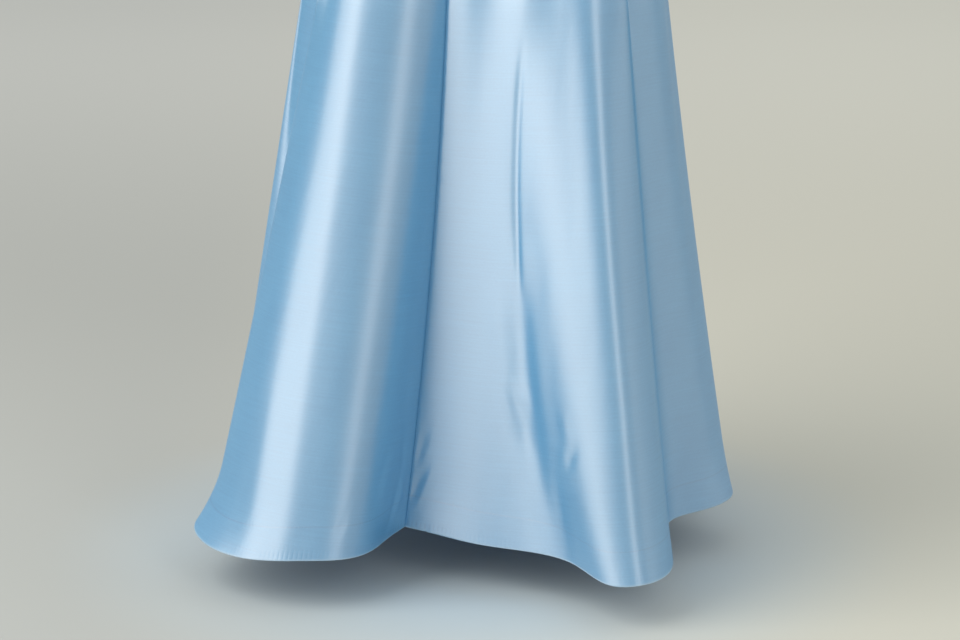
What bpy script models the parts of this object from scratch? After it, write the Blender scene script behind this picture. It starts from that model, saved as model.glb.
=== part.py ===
"""Full-length satin party dress in its worn shape: fitted bodice on two shoulder straps and a flared skirt.

The skirt hangs in deep folds that start under the hips. Each fold line is one row of a table, and the cloth
runs smoothly through the rows. Metres, +Z up, +Y the way the dress faces, +X its right side. The origin is
midway between the straps at shoulder height, where the dress is held up.
"""

import math
from collections import namedtuple

import bmesh
import bpy
import numpy as np
from mathutils import Vector

# Heights above the floor.
SHOULDER_HEIGHT = 1.400
WAIST_HEIGHT = 1.060
HIP_HEIGHT = 0.870
THIGH_HEIGHT = 0.680
ZIP_END_HEIGHT = 0.885

# Cloth and seams.
SKIRT_CLOTH = 0.0015
HEM_CLOTH = 0.0028
HEM_DEPTH = 0.042
BODICE_CLOTH = 0.0020
SEAM_GAP = 0.0003

# How the skirt falls: hips_lift is the share by which folds already stand off the hips.
HIPS_LIFT = 0.40
FLARE = 0.12
KICK_HEIGHT = 0.075

# Half sizes of the general figure at each height: half width, and depth from the axis to front and back.
Section = namedtuple("Section", "height side front back")
TORSO = (
    Section(HIP_HEIGHT, 0.174, 0.116, 0.128),
    Section(0.960, 0.154, 0.106, 0.108),
    Section(WAIST_HEIGHT, 0.126, 0.093, 0.089),
    Section(1.140, 0.134, 0.099, 0.088),
    Section(1.210, 0.145, 0.108, 0.093),
    Section(1.270, 0.149, 0.106, 0.097),
    Section(1.330, 0.146, 0.096, 0.092),
)
TORSO_SQUARENESS = 2.25

# Bust cups, as a soft swelling each side of the centre front.
CUP_TURN = 37.0
CUP_HEIGHT = 1.205
CUP_SWELL = 0.030
CUP_HALF_TURN = 27.0
CUP_HALF_HEIGHT = 0.060

# Top edge of the bodice, the same on both sides. Turn is in degrees from the centre back.
EdgePoint = namedtuple("EdgePoint", "turn height")
TOP_EDGE = (
    EdgePoint(0, 1.214),
    EdgePoint(35, 1.219),
    EdgePoint(62, 1.229),
    EdgePoint(90, 1.236),
    EdgePoint(118, 1.262),
    EdgePoint(138, 1.302),
    EdgePoint(147, 1.302),
    EdgePoint(180, 1.256),
)

# Fold lines of the skirt, once round from the centre back to the right. Turns are in degrees from the
# centre back, reach is the distance from the axis, rise is the hem's height above the floor, kick is how far
# the hem springs out below the straight fall of the line, and sway and belly are how far the line bows at
# half its length, to the right along the cloth and away from the axis.
FoldLine = namedtuple(
    "FoldLine", "name hip_turn thigh_turn thigh_reach hem_turn hem_reach rise kick sway belly"
)
FOLDS = (
    FoldLine("centre back seam", 0, 0, 0.145, -17.28, 0.165, 0.067, 0.000, 0.005, 0.000),
    FoldLine("right panel start", 8, 7, 0.149, -6.1, 0.1627, 0.064, 0.002, 0.003, 0.001),
    FoldLine("right panel middle", 20, 15, 0.155, 13.1, 0.1754, 0.059, 0.002, 0.000, 0.003),
    FoldLine("right panel end", 35, 24.9, 0.170, 33.6, 0.2172, 0.058, 0.001, -0.013, -0.002),
    FoldLine("right fold root", 41, 30.5, 0.185, 38.7, 0.257, 0.058, 0.001, -0.018, -0.013),
    FoldLine("right fold flank", 48, 37.4, 0.203, 40.0, 0.300, 0.055, 0.002, -0.017, -0.009),
    FoldLine("right fold shoulder", 53, 42.0, 0.217, 42.0, 0.333, 0.053, 0.003, -0.012, -0.004),
    FoldLine("right fold crest", 59, 46.8, 0.229, 47.5, 0.349, 0.055, 0.004, -0.009, 0.005),
    FoldLine("right fold edge", 65, 53.0, 0.238, 54.2, 0.339, 0.055, 0.003, -0.003, 0.003),
    FoldLine("right tuck", 71, 59.1, 0.2365, 66.5, 0.281, 0.058, 0.001, 0.000, 0.000),
    FoldLine("right tuck floor", 75, 63.5, 0.2375, 84.0, 0.250, 0.060, 0.000, 0.000, 0.000),
    FoldLine("right side rise", 80, 71.0, 0.238, 91.4, 0.272, 0.060, 0.002, 0.000, 0.000),
    FoldLine("right side ridge", 86, 91.0, 0.222, 103.8, 0.308, 0.060, 0.004, 0.000, 0.000),
    FoldLine("right side seam", 90, 99.0, 0.212, 110.0, 0.306, 0.060, 0.003, 0.000, 0.000),
    FoldLine("right front valley", 106, 117.0, 0.184, 123.0, 0.262, 0.058, 0.000, 0.000, 0.000),
    FoldLine("right front ridge", 128, 135.0, 0.190, 139.0, 0.328, 0.058, 0.006, 0.000, 0.000),
    FoldLine("right front flank", 144, 149.0, 0.168, 152.0, 0.290, 0.058, 0.002, 0.000, 0.000),
    FoldLine("middle right valley", 160, 163.0, 0.158, 164.0, 0.262, 0.057, 0.000, 0.000, 0.000),
    FoldLine("centre front ridge", 181, 181.0, 0.165, 182.0, 0.312, 0.056, 0.005, 0.000, 0.000),
    FoldLine("middle left valley", 201, 199.0, 0.157, 197.0, 0.258, 0.057, 0.000, 0.000, 0.000),
    FoldLine("left front flank", 217, 213.0, 0.170, 209.0, 0.284, 0.058, 0.002, 0.000, 0.000),
    FoldLine("left front ridge", 233, 229.0, 0.192, 222.0, 0.330, 0.058, 0.006, 0.000, 0.000),
    FoldLine("left front valley", 256, 250.0, 0.184, 240.0, 0.268, 0.059, 0.000, 0.000, 0.000),
    FoldLine("left side seam", 270, 264.0, 0.200, 257.0, 0.312, 0.060, 0.003, 0.000, 0.000),
    FoldLine("left side ridge", 279, 277.0, 0.209, 267.0, 0.328, 0.060, 0.004, 0.000, 0.004),
    FoldLine("left tuck", 290, 291.0, 0.184, 285.0, 0.298, 0.060, 0.000, 0.000, 0.000),
    FoldLine("left fold edge", 300, 309.0, 0.202, 306.1, 0.3613, 0.065, 0.019, 0.000, 0.003),
    FoldLine("left fold outer flank", 311, 323.1, 0.211, 316.48, 0.3669, 0.057, 0.011, 0.000, 0.000),
    FoldLine("left fold inner flank", 320, 331.0, 0.210, 324.82, 0.3429, 0.057, 0.004, 0.000, 0.000),
    FoldLine("left fold crest", 330, 341.0, 0.201, 335.29, 0.3147, 0.063, 0.002, 0.000, 0.000),
    FoldLine("left fold shoulder", 340, 348.0, 0.186, 341.0, 0.2864, 0.0625, 0.002, 0.000, 0.000),
    FoldLine("left fold wall", 348, 353.3, 0.170, 343.5, 0.2471, 0.061, 0.001, 0.003, 0.000),
    FoldLine("left fold root", 354, 357.0, 0.157, 342.6, 0.1982, 0.0635, 0.000, 0.005, 0.000),
    FoldLine("back seam left", 360, 360, 0.145, 342.72, 0.165, 0.067, 0.000, 0.005, 0.000),
)

# Shoulder straps: where they leave the bodice, and how they cross the shoulder.
STRAP_WIDTH = 0.011
STRAP_CLOTH = 0.0020
STRAP_FRONT_TURN = 141.5
STRAP_BACK_TURN = 47.0
STRAP_TUCK = 0.014
STRAP_LIP = 0.001
SHOULDER_HALF_WIDTH = 0.097
SHOULDER_FORWARD = 0.004
SHOULDER_SLOPE = 16.0
ARCH_HALF_LENGTH = 0.046
ARCH_DROP = 0.014
STRAP_SEGMENTS = 26

# Zip: two tapes behind the back seam, a slider on it at the top, and its pull tab.
TAPE_WIDTH = 0.011
TAPE_CLOTH = 0.0010
TAPE_STAND_OFF = 0.0006
TAPE_DROP = 0.004
TAPE_ROWS = 18
SLIDER_DROP = 0.012
SLIDER_WIDTH = 0.0052
SLIDER_LENGTH = 0.0100
SLIDER_DEPTH = 0.0018
SLIDER_CORNER = 0.0014
SLIDER_SET_DOWN = 0.001
EAR_WIDTH = 0.0009
EAR_LENGTH = 0.0034
EAR_ROOT = 0.0009
EAR_LIP = 0.0003
PIN_RADIUS = 0.0005
PIN_STAND_OFF = 0.0021
RING_RADIUS = 0.0016
RING_HOLE_RADIUS = 0.0008
RING_HOLE_LENGTH = 0.014
TAB_WIDTH = 0.0046
TAB_THICKNESS = 0.0011
TAB_LENGTH = 0.0240
TAB_CORNER = 0.0020
TAB_ROOT_DROP = 0.00096

# How finely the walls are divided, and the small steps that their slopes are read over.
STEP_ACROSS = 0.004
STEP_DOWN = 0.01
EDGE_STEP_TURN = 0.5
EDGE_STEP = 0.002
SHARP_ANGLE = 40.0
SKIRT_UPPER_ROWS = (0.0, 0.3, 0.62, 1.0, 1.5, 2.0)
SKIRT_LOWER_STEPS = 8
HEM_CLOSE_STEP = 0.006
BODICE_ROWS = 11

# The strip of the back that is searched for a place near its centre seam: its width, as a turn on the bodice
# and as a share of the hem on the skirt, how far down the skirt it goes, and its divisions.
BACK_STRIP_TURN = 14.0
BACK_STRIP_SHARE = 0.03
BACK_STRIP_FALL = 1.2
BACK_STRIP_COLUMNS = 60
BACK_STRIP_ROWS = 25

# Columns of each panel's wall.
COLUMNS = {
    "skirt_back_right": 40,
    "skirt_front": 50,
    "skirt_back_left": 38,
    "bodice_back_right": 16,
    "bodice_front": 46,
    "bodice_back_left": 16,
}

SATIN_BLUE = (0.30, 0.52, 0.76, 1.0)
STRAP_BLUE = (0.31, 0.53, 0.77, 1.0)
TAPE_BLUE = (0.22, 0.42, 0.66, 1.0)
COATED_BLUE = (0.24, 0.44, 0.68, 1.0)


def level(height):
    """A height above the floor as a Z in the frame, whose zero is the shoulder."""
    return height - SHOULDER_HEIGHT


def smooth_through(knots, values, at):
    """Natural cubic spline through the values at the knots, read at the places given."""
    knots = np.asarray(knots, float)
    values = np.asarray(values, float)
    at = np.clip(np.asarray(at, float), knots[0], knots[-1])
    gaps = np.diff(knots)
    slopes = np.diff(values) / gaps
    count = len(knots)
    matrix = np.eye(count)
    right = np.zeros(count)
    for i in range(1, count - 1):
        matrix[i, i - 1 : i + 2] = gaps[i - 1], 2 * (gaps[i - 1] + gaps[i]), gaps[i]
        right[i] = 6 * (slopes[i] - slopes[i - 1])
    bends = np.linalg.solve(matrix, right)
    i = np.clip(np.searchsorted(knots, at, side="right") - 1, 0, count - 2)
    left, past = at - knots[i], knots[i + 1] - at
    return (
        (bends[i] * past**3 + bends[i + 1] * left**3) / (6 * gaps[i])
        + (values[i] / gaps[i] - bends[i] * gaps[i] / 6) * past
        + (values[i + 1] / gaps[i] - bends[i + 1] * gaps[i] / 6) * left
    )


def on_plan(turn, reach, z):
    """Points at a turn in degrees and a reach from the axis, as an array of x, y, z."""
    angle = np.radians(turn)
    x, y = reach * np.sin(angle), -reach * np.cos(angle)
    return np.stack(np.broadcast_arrays(x, y, z), axis=-1).astype(float)


def torso_reach(turn, height):
    """Distance from the axis to the outside of the figure, with its bust cups."""
    heights = [s.height for s in TORSO]
    side, front, back = (
        smooth_through(heights, [getattr(s, part) for s in TORSO], height)
        for part in ("side", "front", "back")
    )
    angle = np.radians(turn)
    depth = np.where(np.cos(angle) < 0, front, back)
    n = TORSO_SQUARENESS
    reach = (np.abs(np.sin(angle) / side) ** n + np.abs(np.cos(angle) / depth) ** n) ** (-1 / n)
    off_front = np.abs(np.mod(turn, 360.0) - 180.0)
    across = (off_front - CUP_TURN) / CUP_HALF_TURN
    upright = (height - CUP_HEIGHT) / CUP_HALF_HEIGHT
    return reach + CUP_SWELL * np.exp(-(across**2) - upright**2)


def top_edge_height(turn):
    """Height of the bodice's top edge, the same left and right."""
    off_back = 180.0 - np.abs(np.mod(turn, 360.0) - 180.0)
    return smooth_through([p.turn for p in TOP_EDGE], [p.height for p in TOP_EDGE], off_back)


def fold_knots():
    """Where each fold line lies along the cloth, as a share of the hem's length from the seam, 0 to 1."""
    hem = on_plan(np.array([f.hem_turn for f in FOLDS]), np.array([f.hem_reach for f in FOLDS]), 0.0)
    lengths = np.linalg.norm(np.diff(hem, axis=0), axis=1)
    return np.concatenate([[0.0], np.cumsum(lengths) / lengths.sum()])


KNOTS = fold_knots()


def knot_of(name):
    return KNOTS[[f.name for f in FOLDS].index(name)]


def ring_through(turn_field, reach_field, at, z):
    """A closed ring of the skirt: the cloth's smooth run through one pair of the table's columns."""
    corners = on_plan(
        np.array([getattr(f, turn_field) for f in FOLDS]),
        np.array([getattr(f, reach_field) for f in FOLDS]),
        0.0,
    )
    x = smooth_through(KNOTS, corners[:, 0], at)
    y = smooth_through(KNOTS, corners[:, 1], at)
    return np.stack(np.broadcast_arrays(x, y, z), axis=-1)


def outward(points):
    """Level unit vectors away from the axis."""
    plan = points * np.array([1.0, 1.0, 0.0])
    return plan / np.linalg.norm(plan, axis=-1, keepdims=True)


def from_table(column, at):
    """One column of the fold table, running smoothly round the cloth."""
    return smooth_through(KNOTS, [getattr(f, column) for f in FOLDS], at)


def skirt_point(at, fall):
    """Outer face of the skirt at a share round the hem, and at a fall: 0 waist, 1 hips, 2 thighs, 3 hem."""
    at = np.asarray(at, float)
    hip_turn = from_table("hip_turn", at)
    waist = on_plan(hip_turn, torso_reach(hip_turn, WAIST_HEIGHT), level(WAIST_HEIGHT) - SEAM_GAP / 2)
    thigh = ring_through("thigh_turn", "thigh_reach", at, level(THIGH_HEIGHT))
    rise = from_table("rise", at)
    hem = ring_through("hem_turn", "hem_reach", at, level(rise))
    out = outward(thigh + hem)
    aside = np.cross(np.array([0.0, 0.0, 1.0]), out)
    kick = from_table("kick", at)[:, None] * out
    bow = 4 * (from_table("sway", at)[:, None] * aside + from_table("belly", at)[:, None] * out)
    drop = (THIGH_HEIGHT - rise)[:, None]
    straight = hem - kick - thigh
    flat = np.array([1.0, 1.0, 0.0])
    if fall > 2:
        f = fall - 2
        spring = np.clip(1 - (1 - f) * drop / KICK_HEIGHT, 0.0, 1.0) ** 2
        return thigh + straight * (f + FLARE * (f * f - f) * flat) + bow * (f - f * f) + kick * spring
    snug = on_plan(hip_turn, torso_reach(hip_turn, HIP_HEIGHT), level(HIP_HEIGHT))
    lifted = (waist + thigh) / 2
    lifted[:, 2] = level(HIP_HEIGHT)
    hip = snug + HIPS_LIFT * (lifted - snug)
    thigh_slope = (straight * (1 - FLARE * flat) + bow) * (HIP_HEIGHT - THIGH_HEIGHT) / drop
    hip_slope = (thigh - waist) / 2
    if fall > 1:
        return hermite(hip, hip_slope, thigh, thigh_slope, fall - 1)
    return hermite(waist, hip - waist, hip, hip_slope, fall)


def hermite(start, start_slope, end, end_slope, t):
    """Cubic between two points with a slope at each."""
    a, b = (1 + 2 * t) * (1 - t) ** 2, t * (1 - t) ** 2
    c, d = t * t * (3 - 2 * t), t * t * (t - 1)
    return a * start + b * start_slope + c * end + d * end_slope


def skirt_falls():
    """The rows of the skirt from waist to hem, with a close pair where the turned-up hem begins."""
    drop = THIGH_HEIGHT - np.mean([f.rise for f in FOLDS])
    hem_top = 3 - HEM_DEPTH / drop
    lower = np.linspace(2, hem_top, SKIRT_LOWER_STEPS + 1)[1:]
    return [*SKIRT_UPPER_ROWS, *lower, hem_top + HEM_CLOSE_STEP, (hem_top + 3) / 2, 3.0]


def cloth_normals(surface, across, down, last_row):
    """Outward unit normals of a surface of two parameters, the same on both sides of a smooth seam."""
    step = STEP_ACROSS * (across[-1] - across[0])
    normals = []
    for row in down:
        upper, lower = max(row - STEP_DOWN, 0.0), min(row + STEP_DOWN, last_row)
        aside = surface(across + step, row) - surface(across - step, row)
        downward = surface(across, lower) - surface(across, upper)
        normals.append(np.cross(downward, aside))
    normals = np.array(normals)
    return normals / np.linalg.norm(normals, axis=2, keepdims=True)


def part_from_neighbours(points):
    """How far to draw the two side edges of a panel back along the cloth: half a seam gap each."""
    moves = np.zeros_like(points)
    for edge, inside in ((0, 1), (-1, -2)):
        along = points[:, inside] - points[:, edge]
        moves[:, edge] = along / np.linalg.norm(along, axis=1, keepdims=True) * SEAM_GAP / 2
    return moves


def material(name, colour, roughness, metallic):
    """A plain Principled material for one kind of piece."""
    made = bpy.data.materials.new(name)
    made.use_nodes = True
    shader = made.node_tree.nodes["Principled BSDF"]
    shader.inputs["Base Color"].default_value = colour
    shader.inputs["Roughness"].default_value = roughness
    shader.inputs["Metallic"].default_value = metallic
    made.diffuse_color = colour
    return made


def link(name, mesh, finish, parent):
    """An object for a mesh whose points are already in the frame."""
    made = bpy.data.objects.new(name, mesh)
    made.data.materials.append(finish)
    made.parent = parent
    bpy.context.scene.collection.objects.link(made)
    return made


def cloth_wall(name, outer, inner, finish, parent):
    """A closed wall of cloth between an outer and an inner grid of points, both from top to bottom."""
    bm = bmesh.new()
    sheets = [[[bm.verts.new(spot) for spot in row] for row in grid] for grid in (outer, inner)]
    rows, columns = outer.shape[0], outer.shape[1]
    for sheet, facing in ((sheets[0], 1), (sheets[1], -1)):
        for i in range(rows - 1):
            for j in range(columns - 1):
                corners = (sheet[i][j], sheet[i + 1][j], sheet[i + 1][j + 1], sheet[i][j + 1])
                bm.faces.new(corners[::facing])
    around = [(0, j) for j in range(columns)]
    around += [(i, columns - 1) for i in range(1, rows)]
    around += [(rows - 1, j) for j in range(columns - 2, -1, -1)]
    around += [(i, 0) for i in range(rows - 2, 0, -1)]
    for (i, j), (k, m) in zip(around, around[1:] + around[:1]):
        bm.faces.new((sheets[0][i][j], sheets[0][k][m], sheets[1][k][m], sheets[1][i][j]))
    bmesh.ops.recalc_face_normals(bm, faces=bm.faces)
    mesh = bpy.data.meshes.new(name)
    bm.to_mesh(mesh)
    bm.free()
    mesh.shade_smooth()
    mesh.set_sharp_from_angle(angle=math.radians(SHARP_ANGLE))
    return link(name, mesh, finish, parent)


def skirt_panel(name, start, end, finish, parent):
    """One panel of the skirt between two fold lines that are its seams."""
    at = np.linspace(knot_of(start), knot_of(end), COLUMNS[name] + 1)
    falls = skirt_falls()
    outer = np.stack([skirt_point(at, fall) for fall in falls])
    normals = cloth_normals(skirt_point, at, falls, 3.0)
    first_hem_row = falls[-3]
    thickness = np.array([SKIRT_CLOTH if fall < first_hem_row else HEM_CLOTH for fall in falls])
    inner = outer - normals * thickness[:, None, None]
    moves = part_from_neighbours(outer)
    return cloth_wall(name, outer + moves, inner + moves, finish, parent)


def bodice_point(turn, share):
    """Outer face of the bodice at a turn, from 0 at the top edge to 1 at the waist seam."""
    foot = WAIST_HEIGHT + SEAM_GAP / 2
    height = foot + (top_edge_height(turn) - foot) * (1 - share)
    return on_plan(turn, torso_reach(turn, height), level(height))


def bodice_panel(name, start, end, finish, parent):
    """One panel of the bodice between two turns."""
    turn = np.linspace(start, end, COLUMNS[name] + 1)
    shares = np.linspace(0, 1, BODICE_ROWS + 1)
    outer = np.stack([bodice_point(turn, share) for share in shares])
    inner = outer - cloth_normals(bodice_point, turn, shares, 1.0) * BODICE_CLOTH
    moves = part_from_neighbours(outer)
    return cloth_wall(name, outer + moves, inner + moves, finish, parent)


def surface_frame(turn, height):
    """A point on the bodice's outer face, with its outward and sideways unit vectors."""
    here = on_plan(turn, torso_reach(turn, height), level(height))
    aside = on_plan(turn + EDGE_STEP_TURN, torso_reach(turn + EDGE_STEP_TURN, height), level(height)) - here
    upper = on_plan(turn, torso_reach(turn, height + EDGE_STEP), level(height + EDGE_STEP)) - here
    aside, upper = Vector(aside).normalized(), Vector(upper).normalized()
    return Vector(here), aside.cross(upper).normalized(), aside


def strap(name, side, finish, parent):
    """A narrow ribbon from inside the bodice's front, over the shoulder, to inside its back."""
    behind = BODICE_CLOTH + SEAM_GAP + STRAP_CLOTH / 2
    keys = []
    for turn, along in ((STRAP_FRONT_TURN, 1), (STRAP_BACK_TURN, -1)):
        turn = turn if side > 0 else 360 - turn
        edge = float(top_edge_height(turn))
        ends = []
        for height in (edge - STRAP_TUCK, edge - STRAP_LIP):
            point, out, aside = surface_frame(turn, height)
            ends.append((point - out * behind, aside * along))
        keys.append(ends if along > 0 else ends[::-1])
    slope = math.radians(SHOULDER_SLOPE)
    top = Vector((side * SHOULDER_HALF_WIDTH, SHOULDER_FORWARD, STRAP_CLOTH / 2))
    lean = Vector((-math.cos(slope), 0.0, side * math.sin(slope)))
    front, back = keys
    before = (top + Vector((0, ARCH_HALF_LENGTH, -ARCH_DROP)), lean)
    after = (top + Vector((0, -ARCH_HALF_LENGTH, -ARCH_DROP)), lean)
    stops = [*front, before, (top, lean), after, *back]
    spots = np.array([s[0] for s in stops])
    sides = np.array([s[1] for s in stops])
    lengths = np.linalg.norm(np.diff(spots, axis=0), axis=1)
    knots = np.concatenate([[0.0], np.cumsum(lengths) / lengths.sum()])
    shares = np.union1d(np.linspace(0, 1, STRAP_SEGMENTS), knots[[1, -2]])
    path = np.stack([smooth_through(knots, spots[:, i], shares) for i in range(3)], axis=-1)
    widths = np.stack([np.interp(shares, knots, sides[:, i]) for i in range(3)], axis=-1)
    runs = np.gradient(path, axis=0)
    bm = bmesh.new()
    section = []
    for spot, width, run in zip(path, widths, runs):
        run = Vector(run).normalized()
        width = Vector(width)
        width = (width - run * width.dot(run)).normalized() * STRAP_WIDTH / 2
        face = run.cross(width).normalized() * STRAP_CLOTH / 2
        corners = [
            bm.verts.new(Vector(spot) + across * width + through * face)
            for across, through in ((1, 1), (-1, 1), (-1, -1), (1, -1))
        ]
        if section:
            for i in range(4):
                bm.faces.new((section[i], section[i - 1], corners[i - 1], corners[i]))
        else:
            bm.faces.new(corners)
        section = corners
    bm.faces.new(section[::-1])
    bmesh.ops.recalc_face_normals(bm, faces=bm.faces)
    mesh = bpy.data.meshes.new(name)
    bm.to_mesh(mesh)
    bm.free()
    return link(name, mesh, finish, parent)


def back_line(height, side, distance):
    """A point on the outer face of the back, at a distance along the cloth from the centre back seam."""
    if height >= WAIST_HEIGHT:
        turn = np.linspace(0, side * BACK_STRIP_TURN, BACK_STRIP_COLUMNS)
        run = on_plan(turn, torso_reach(turn, height), level(height))
    else:
        at = np.linspace(0, BACK_STRIP_SHARE, BACK_STRIP_COLUMNS)
        at = at if side > 0 else 1 - at
        falls = np.linspace(0, BACK_STRIP_FALL, BACK_STRIP_ROWS)
        rows = np.stack([skirt_point(at, fall) for fall in falls])
        share = np.interp(level(height), rows[::-1, 0, 2], falls[::-1])
        run = skirt_point(at, share)
    gone = np.concatenate([[0.0], np.cumsum(np.linalg.norm(np.diff(run, axis=0), axis=1))])
    return np.array([np.interp(distance, gone, run[:, i]) for i in range(3)])


def zip_tape(name, side, finish, parent):
    """One half of the closed zip, a tape that follows the inside of the back seam past the waist."""
    top = float(top_edge_height(0.0)) - TAPE_DROP
    heights = np.linspace(top, ZIP_END_HEIGHT, TAPE_ROWS + 1)
    spread = np.array([SEAM_GAP, TAPE_WIDTH / 2, TAPE_WIDTH])
    if side < 0:
        spread = spread[::-1]
    points = np.array([[back_line(h, side, d) for d in spread] for h in heights])
    inward = np.cross(np.gradient(points, axis=1), np.gradient(points, axis=0))
    inward /= np.linalg.norm(inward, axis=2, keepdims=True)
    outer = points + inward * (BODICE_CLOTH + TAPE_STAND_OFF)
    return cloth_wall(name, outer, outer + inward * TAPE_CLOTH, finish, parent)


def pin_axis_point():
    """The middle of the slider's pin, on which the pull tab swings."""
    height = float(top_edge_height(0.0)) - SLIDER_DROP
    ends = (height - SLIDER_LENGTH, height, height + SLIDER_LENGTH)
    foot = min(back_line(end, 1, 0.0)[1] for end in ends)
    return Vector((0.0, foot - SEAM_GAP - SLIDER_DEPTH - PIN_STAND_OFF, level(height)))


def block(bm, size, centre):
    """A box of a size about a centre."""
    made = bmesh.ops.create_cube(bm, size=1.0)["verts"]
    bmesh.ops.scale(bm, vec=size, verts=made)
    bmesh.ops.translate(bm, vec=centre, verts=made)
    return made


def rod_along_x(bm, radius, length, sides):
    """A rod along X about the origin."""
    made = bmesh.ops.create_cone(
        bm, cap_ends=True, segments=sides, radius1=radius, radius2=radius, depth=length
    )["verts"]
    turn = Vector((0, 0, 1)).rotation_difference(Vector((1, 0, 0))).to_matrix()
    bmesh.ops.rotate(bm, cent=(0, 0, 0), matrix=turn, verts=made)
    return made


def fused(name, shapes, finish, parent, hole=None):
    """Shapes made by functions that fill a bmesh, joined into one solid with Boolean unions."""
    objects = []
    for i, shape in enumerate([*shapes, *([hole] if hole else [])]):
        bm = bmesh.new()
        shape(bm)
        bmesh.ops.recalc_face_normals(bm, faces=bm.faces)
        mesh = bpy.data.meshes.new(f"{name}_shape_{i}")
        bm.to_mesh(mesh)
        bm.free()
        objects.append(link(name if i == 0 else mesh.name, mesh, finish, parent))
    body = objects[0]
    for other in objects[1:]:
        other.hide_render = True
        other.display_type = "WIRE"
        joint = body.modifiers.new(other.name, "BOOLEAN")
        joint.solver = "EXACT"
        joint.operation = "DIFFERENCE" if hole and other is objects[-1] else "UNION"
        joint.object = other
    return body


def zip_slider(finish, parent):
    """The slider's body on the seam, with two ears that carry a pin across."""
    back = PIN_STAND_OFF + EAR_ROOT
    front = -PIN_RADIUS - EAR_LIP
    ear_x = TAB_WIDTH / 2 - EAR_WIDTH / 2

    def body(bm):
        centre = (0, PIN_STAND_OFF + SLIDER_DEPTH / 2, -SLIDER_SET_DOWN)
        block(bm, (SLIDER_WIDTH, SLIDER_DEPTH, SLIDER_LENGTH), centre)
        corners = [e for e in bm.edges if abs(e.verts[0].co.y - e.verts[1].co.y) > SLIDER_DEPTH / 2]
        bmesh.ops.bevel(bm, geom=corners, offset=SLIDER_CORNER, segments=3, profile=0.5, affect="EDGES")

    def right_ear(bm):
        block(bm, (EAR_WIDTH, back - front, EAR_LENGTH), (ear_x, (back + front) / 2, 0))

    def left_ear(bm):
        block(bm, (EAR_WIDTH, back - front, EAR_LENGTH), (-ear_x, (back + front) / 2, 0))

    def pin(bm):
        rod_along_x(bm, PIN_RADIUS, 2 * ear_x, 10)

    slider = fused("zip_slider", [body, right_ear, left_ear, pin], finish, parent)
    for piece in [slider, *[m.object for m in slider.modifiers]]:
        piece.location = pin_axis_point()
    return slider


def zip_pull(finish, parent):
    """The pull tab: a ring round the slider's pin and a tapered tab that hangs from it."""
    ring_width = TAB_WIDTH - 2 * EAR_WIDTH - 2 * SEAM_GAP
    tab_top = -TAB_ROOT_DROP

    def ring(bm):
        rod_along_x(bm, RING_RADIUS, ring_width, 16)

    def tab(bm):
        made = block(bm, (ring_width, TAB_THICKNESS, TAB_LENGTH), (0, 0, tab_top - TAB_LENGTH / 2))
        foot = [v for v in made if v.co.z < tab_top - TAB_LENGTH / 2]
        for vert in foot:
            vert.co.x *= TAB_WIDTH / ring_width
        across_edge = [e for e in bm.edges if all(v in foot for v in e.verts)]
        corners = [e for e in across_edge if abs(e.verts[0].co.y - e.verts[1].co.y) > TAB_THICKNESS / 2]
        bmesh.ops.bevel(bm, geom=corners, offset=TAB_CORNER, segments=4, profile=0.5, affect="EDGES")

    def hole(bm):
        rod_along_x(bm, RING_HOLE_RADIUS, RING_HOLE_LENGTH, 16)

    pull = fused("zip_pull", [ring, tab], finish, parent, hole)
    for piece in [pull, *[m.object for m in pull.modifiers]]:
        piece.location = pin_axis_point()
    return pull


def clear_scene():
    for old in list(bpy.data.objects):
        bpy.data.objects.remove(old, do_unlink=True)


def main():
    clear_scene()
    dress = bpy.data.objects.new("dress", None)
    bpy.context.scene.collection.objects.link(dress)
    satin = material("satin", SATIN_BLUE, 0.34, 0.0)
    ribbon = material("strap satin", STRAP_BLUE, 0.36, 0.0)
    tape = material("zip tape", TAPE_BLUE, 0.8, 0.0)
    coated = material("coated metal", COATED_BLUE, 0.4, 0.3)
    skirt_panel("skirt_back_right", "centre back seam", "right side seam", satin, dress)
    skirt_panel("skirt_front", "right side seam", "left side seam", satin, dress)
    skirt_panel("skirt_back_left", "left side seam", "back seam left", satin, dress)
    bodice_panel("bodice_back_right", 0.0, 90.0, satin, dress)
    bodice_panel("bodice_front", 90.0, 270.0, satin, dress)
    bodice_panel("bodice_back_left", 270.0, 360.0, satin, dress)
    strap("strap_right", 1, ribbon, dress)
    strap("strap_left", -1, ribbon, dress)
    zip_tape("zip_tape_right", 1, tape, dress)
    zip_tape("zip_tape_left", -1, tape, dress)
    zip_slider(coated, dress)
    zip_pull(coated, dress)


main()
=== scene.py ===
"""Finishes a full-length satin party dress: fine cloth, straps and zip over the model, and a studio.

The cloth follows the model's own fold lines and adds creases, seams, the turned-up hem and its stitches.
Metres, +Z up, +Y the way the dress faces, +X its right side. The origin lies between the straps.
"""

import math
from collections import namedtuple

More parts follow.
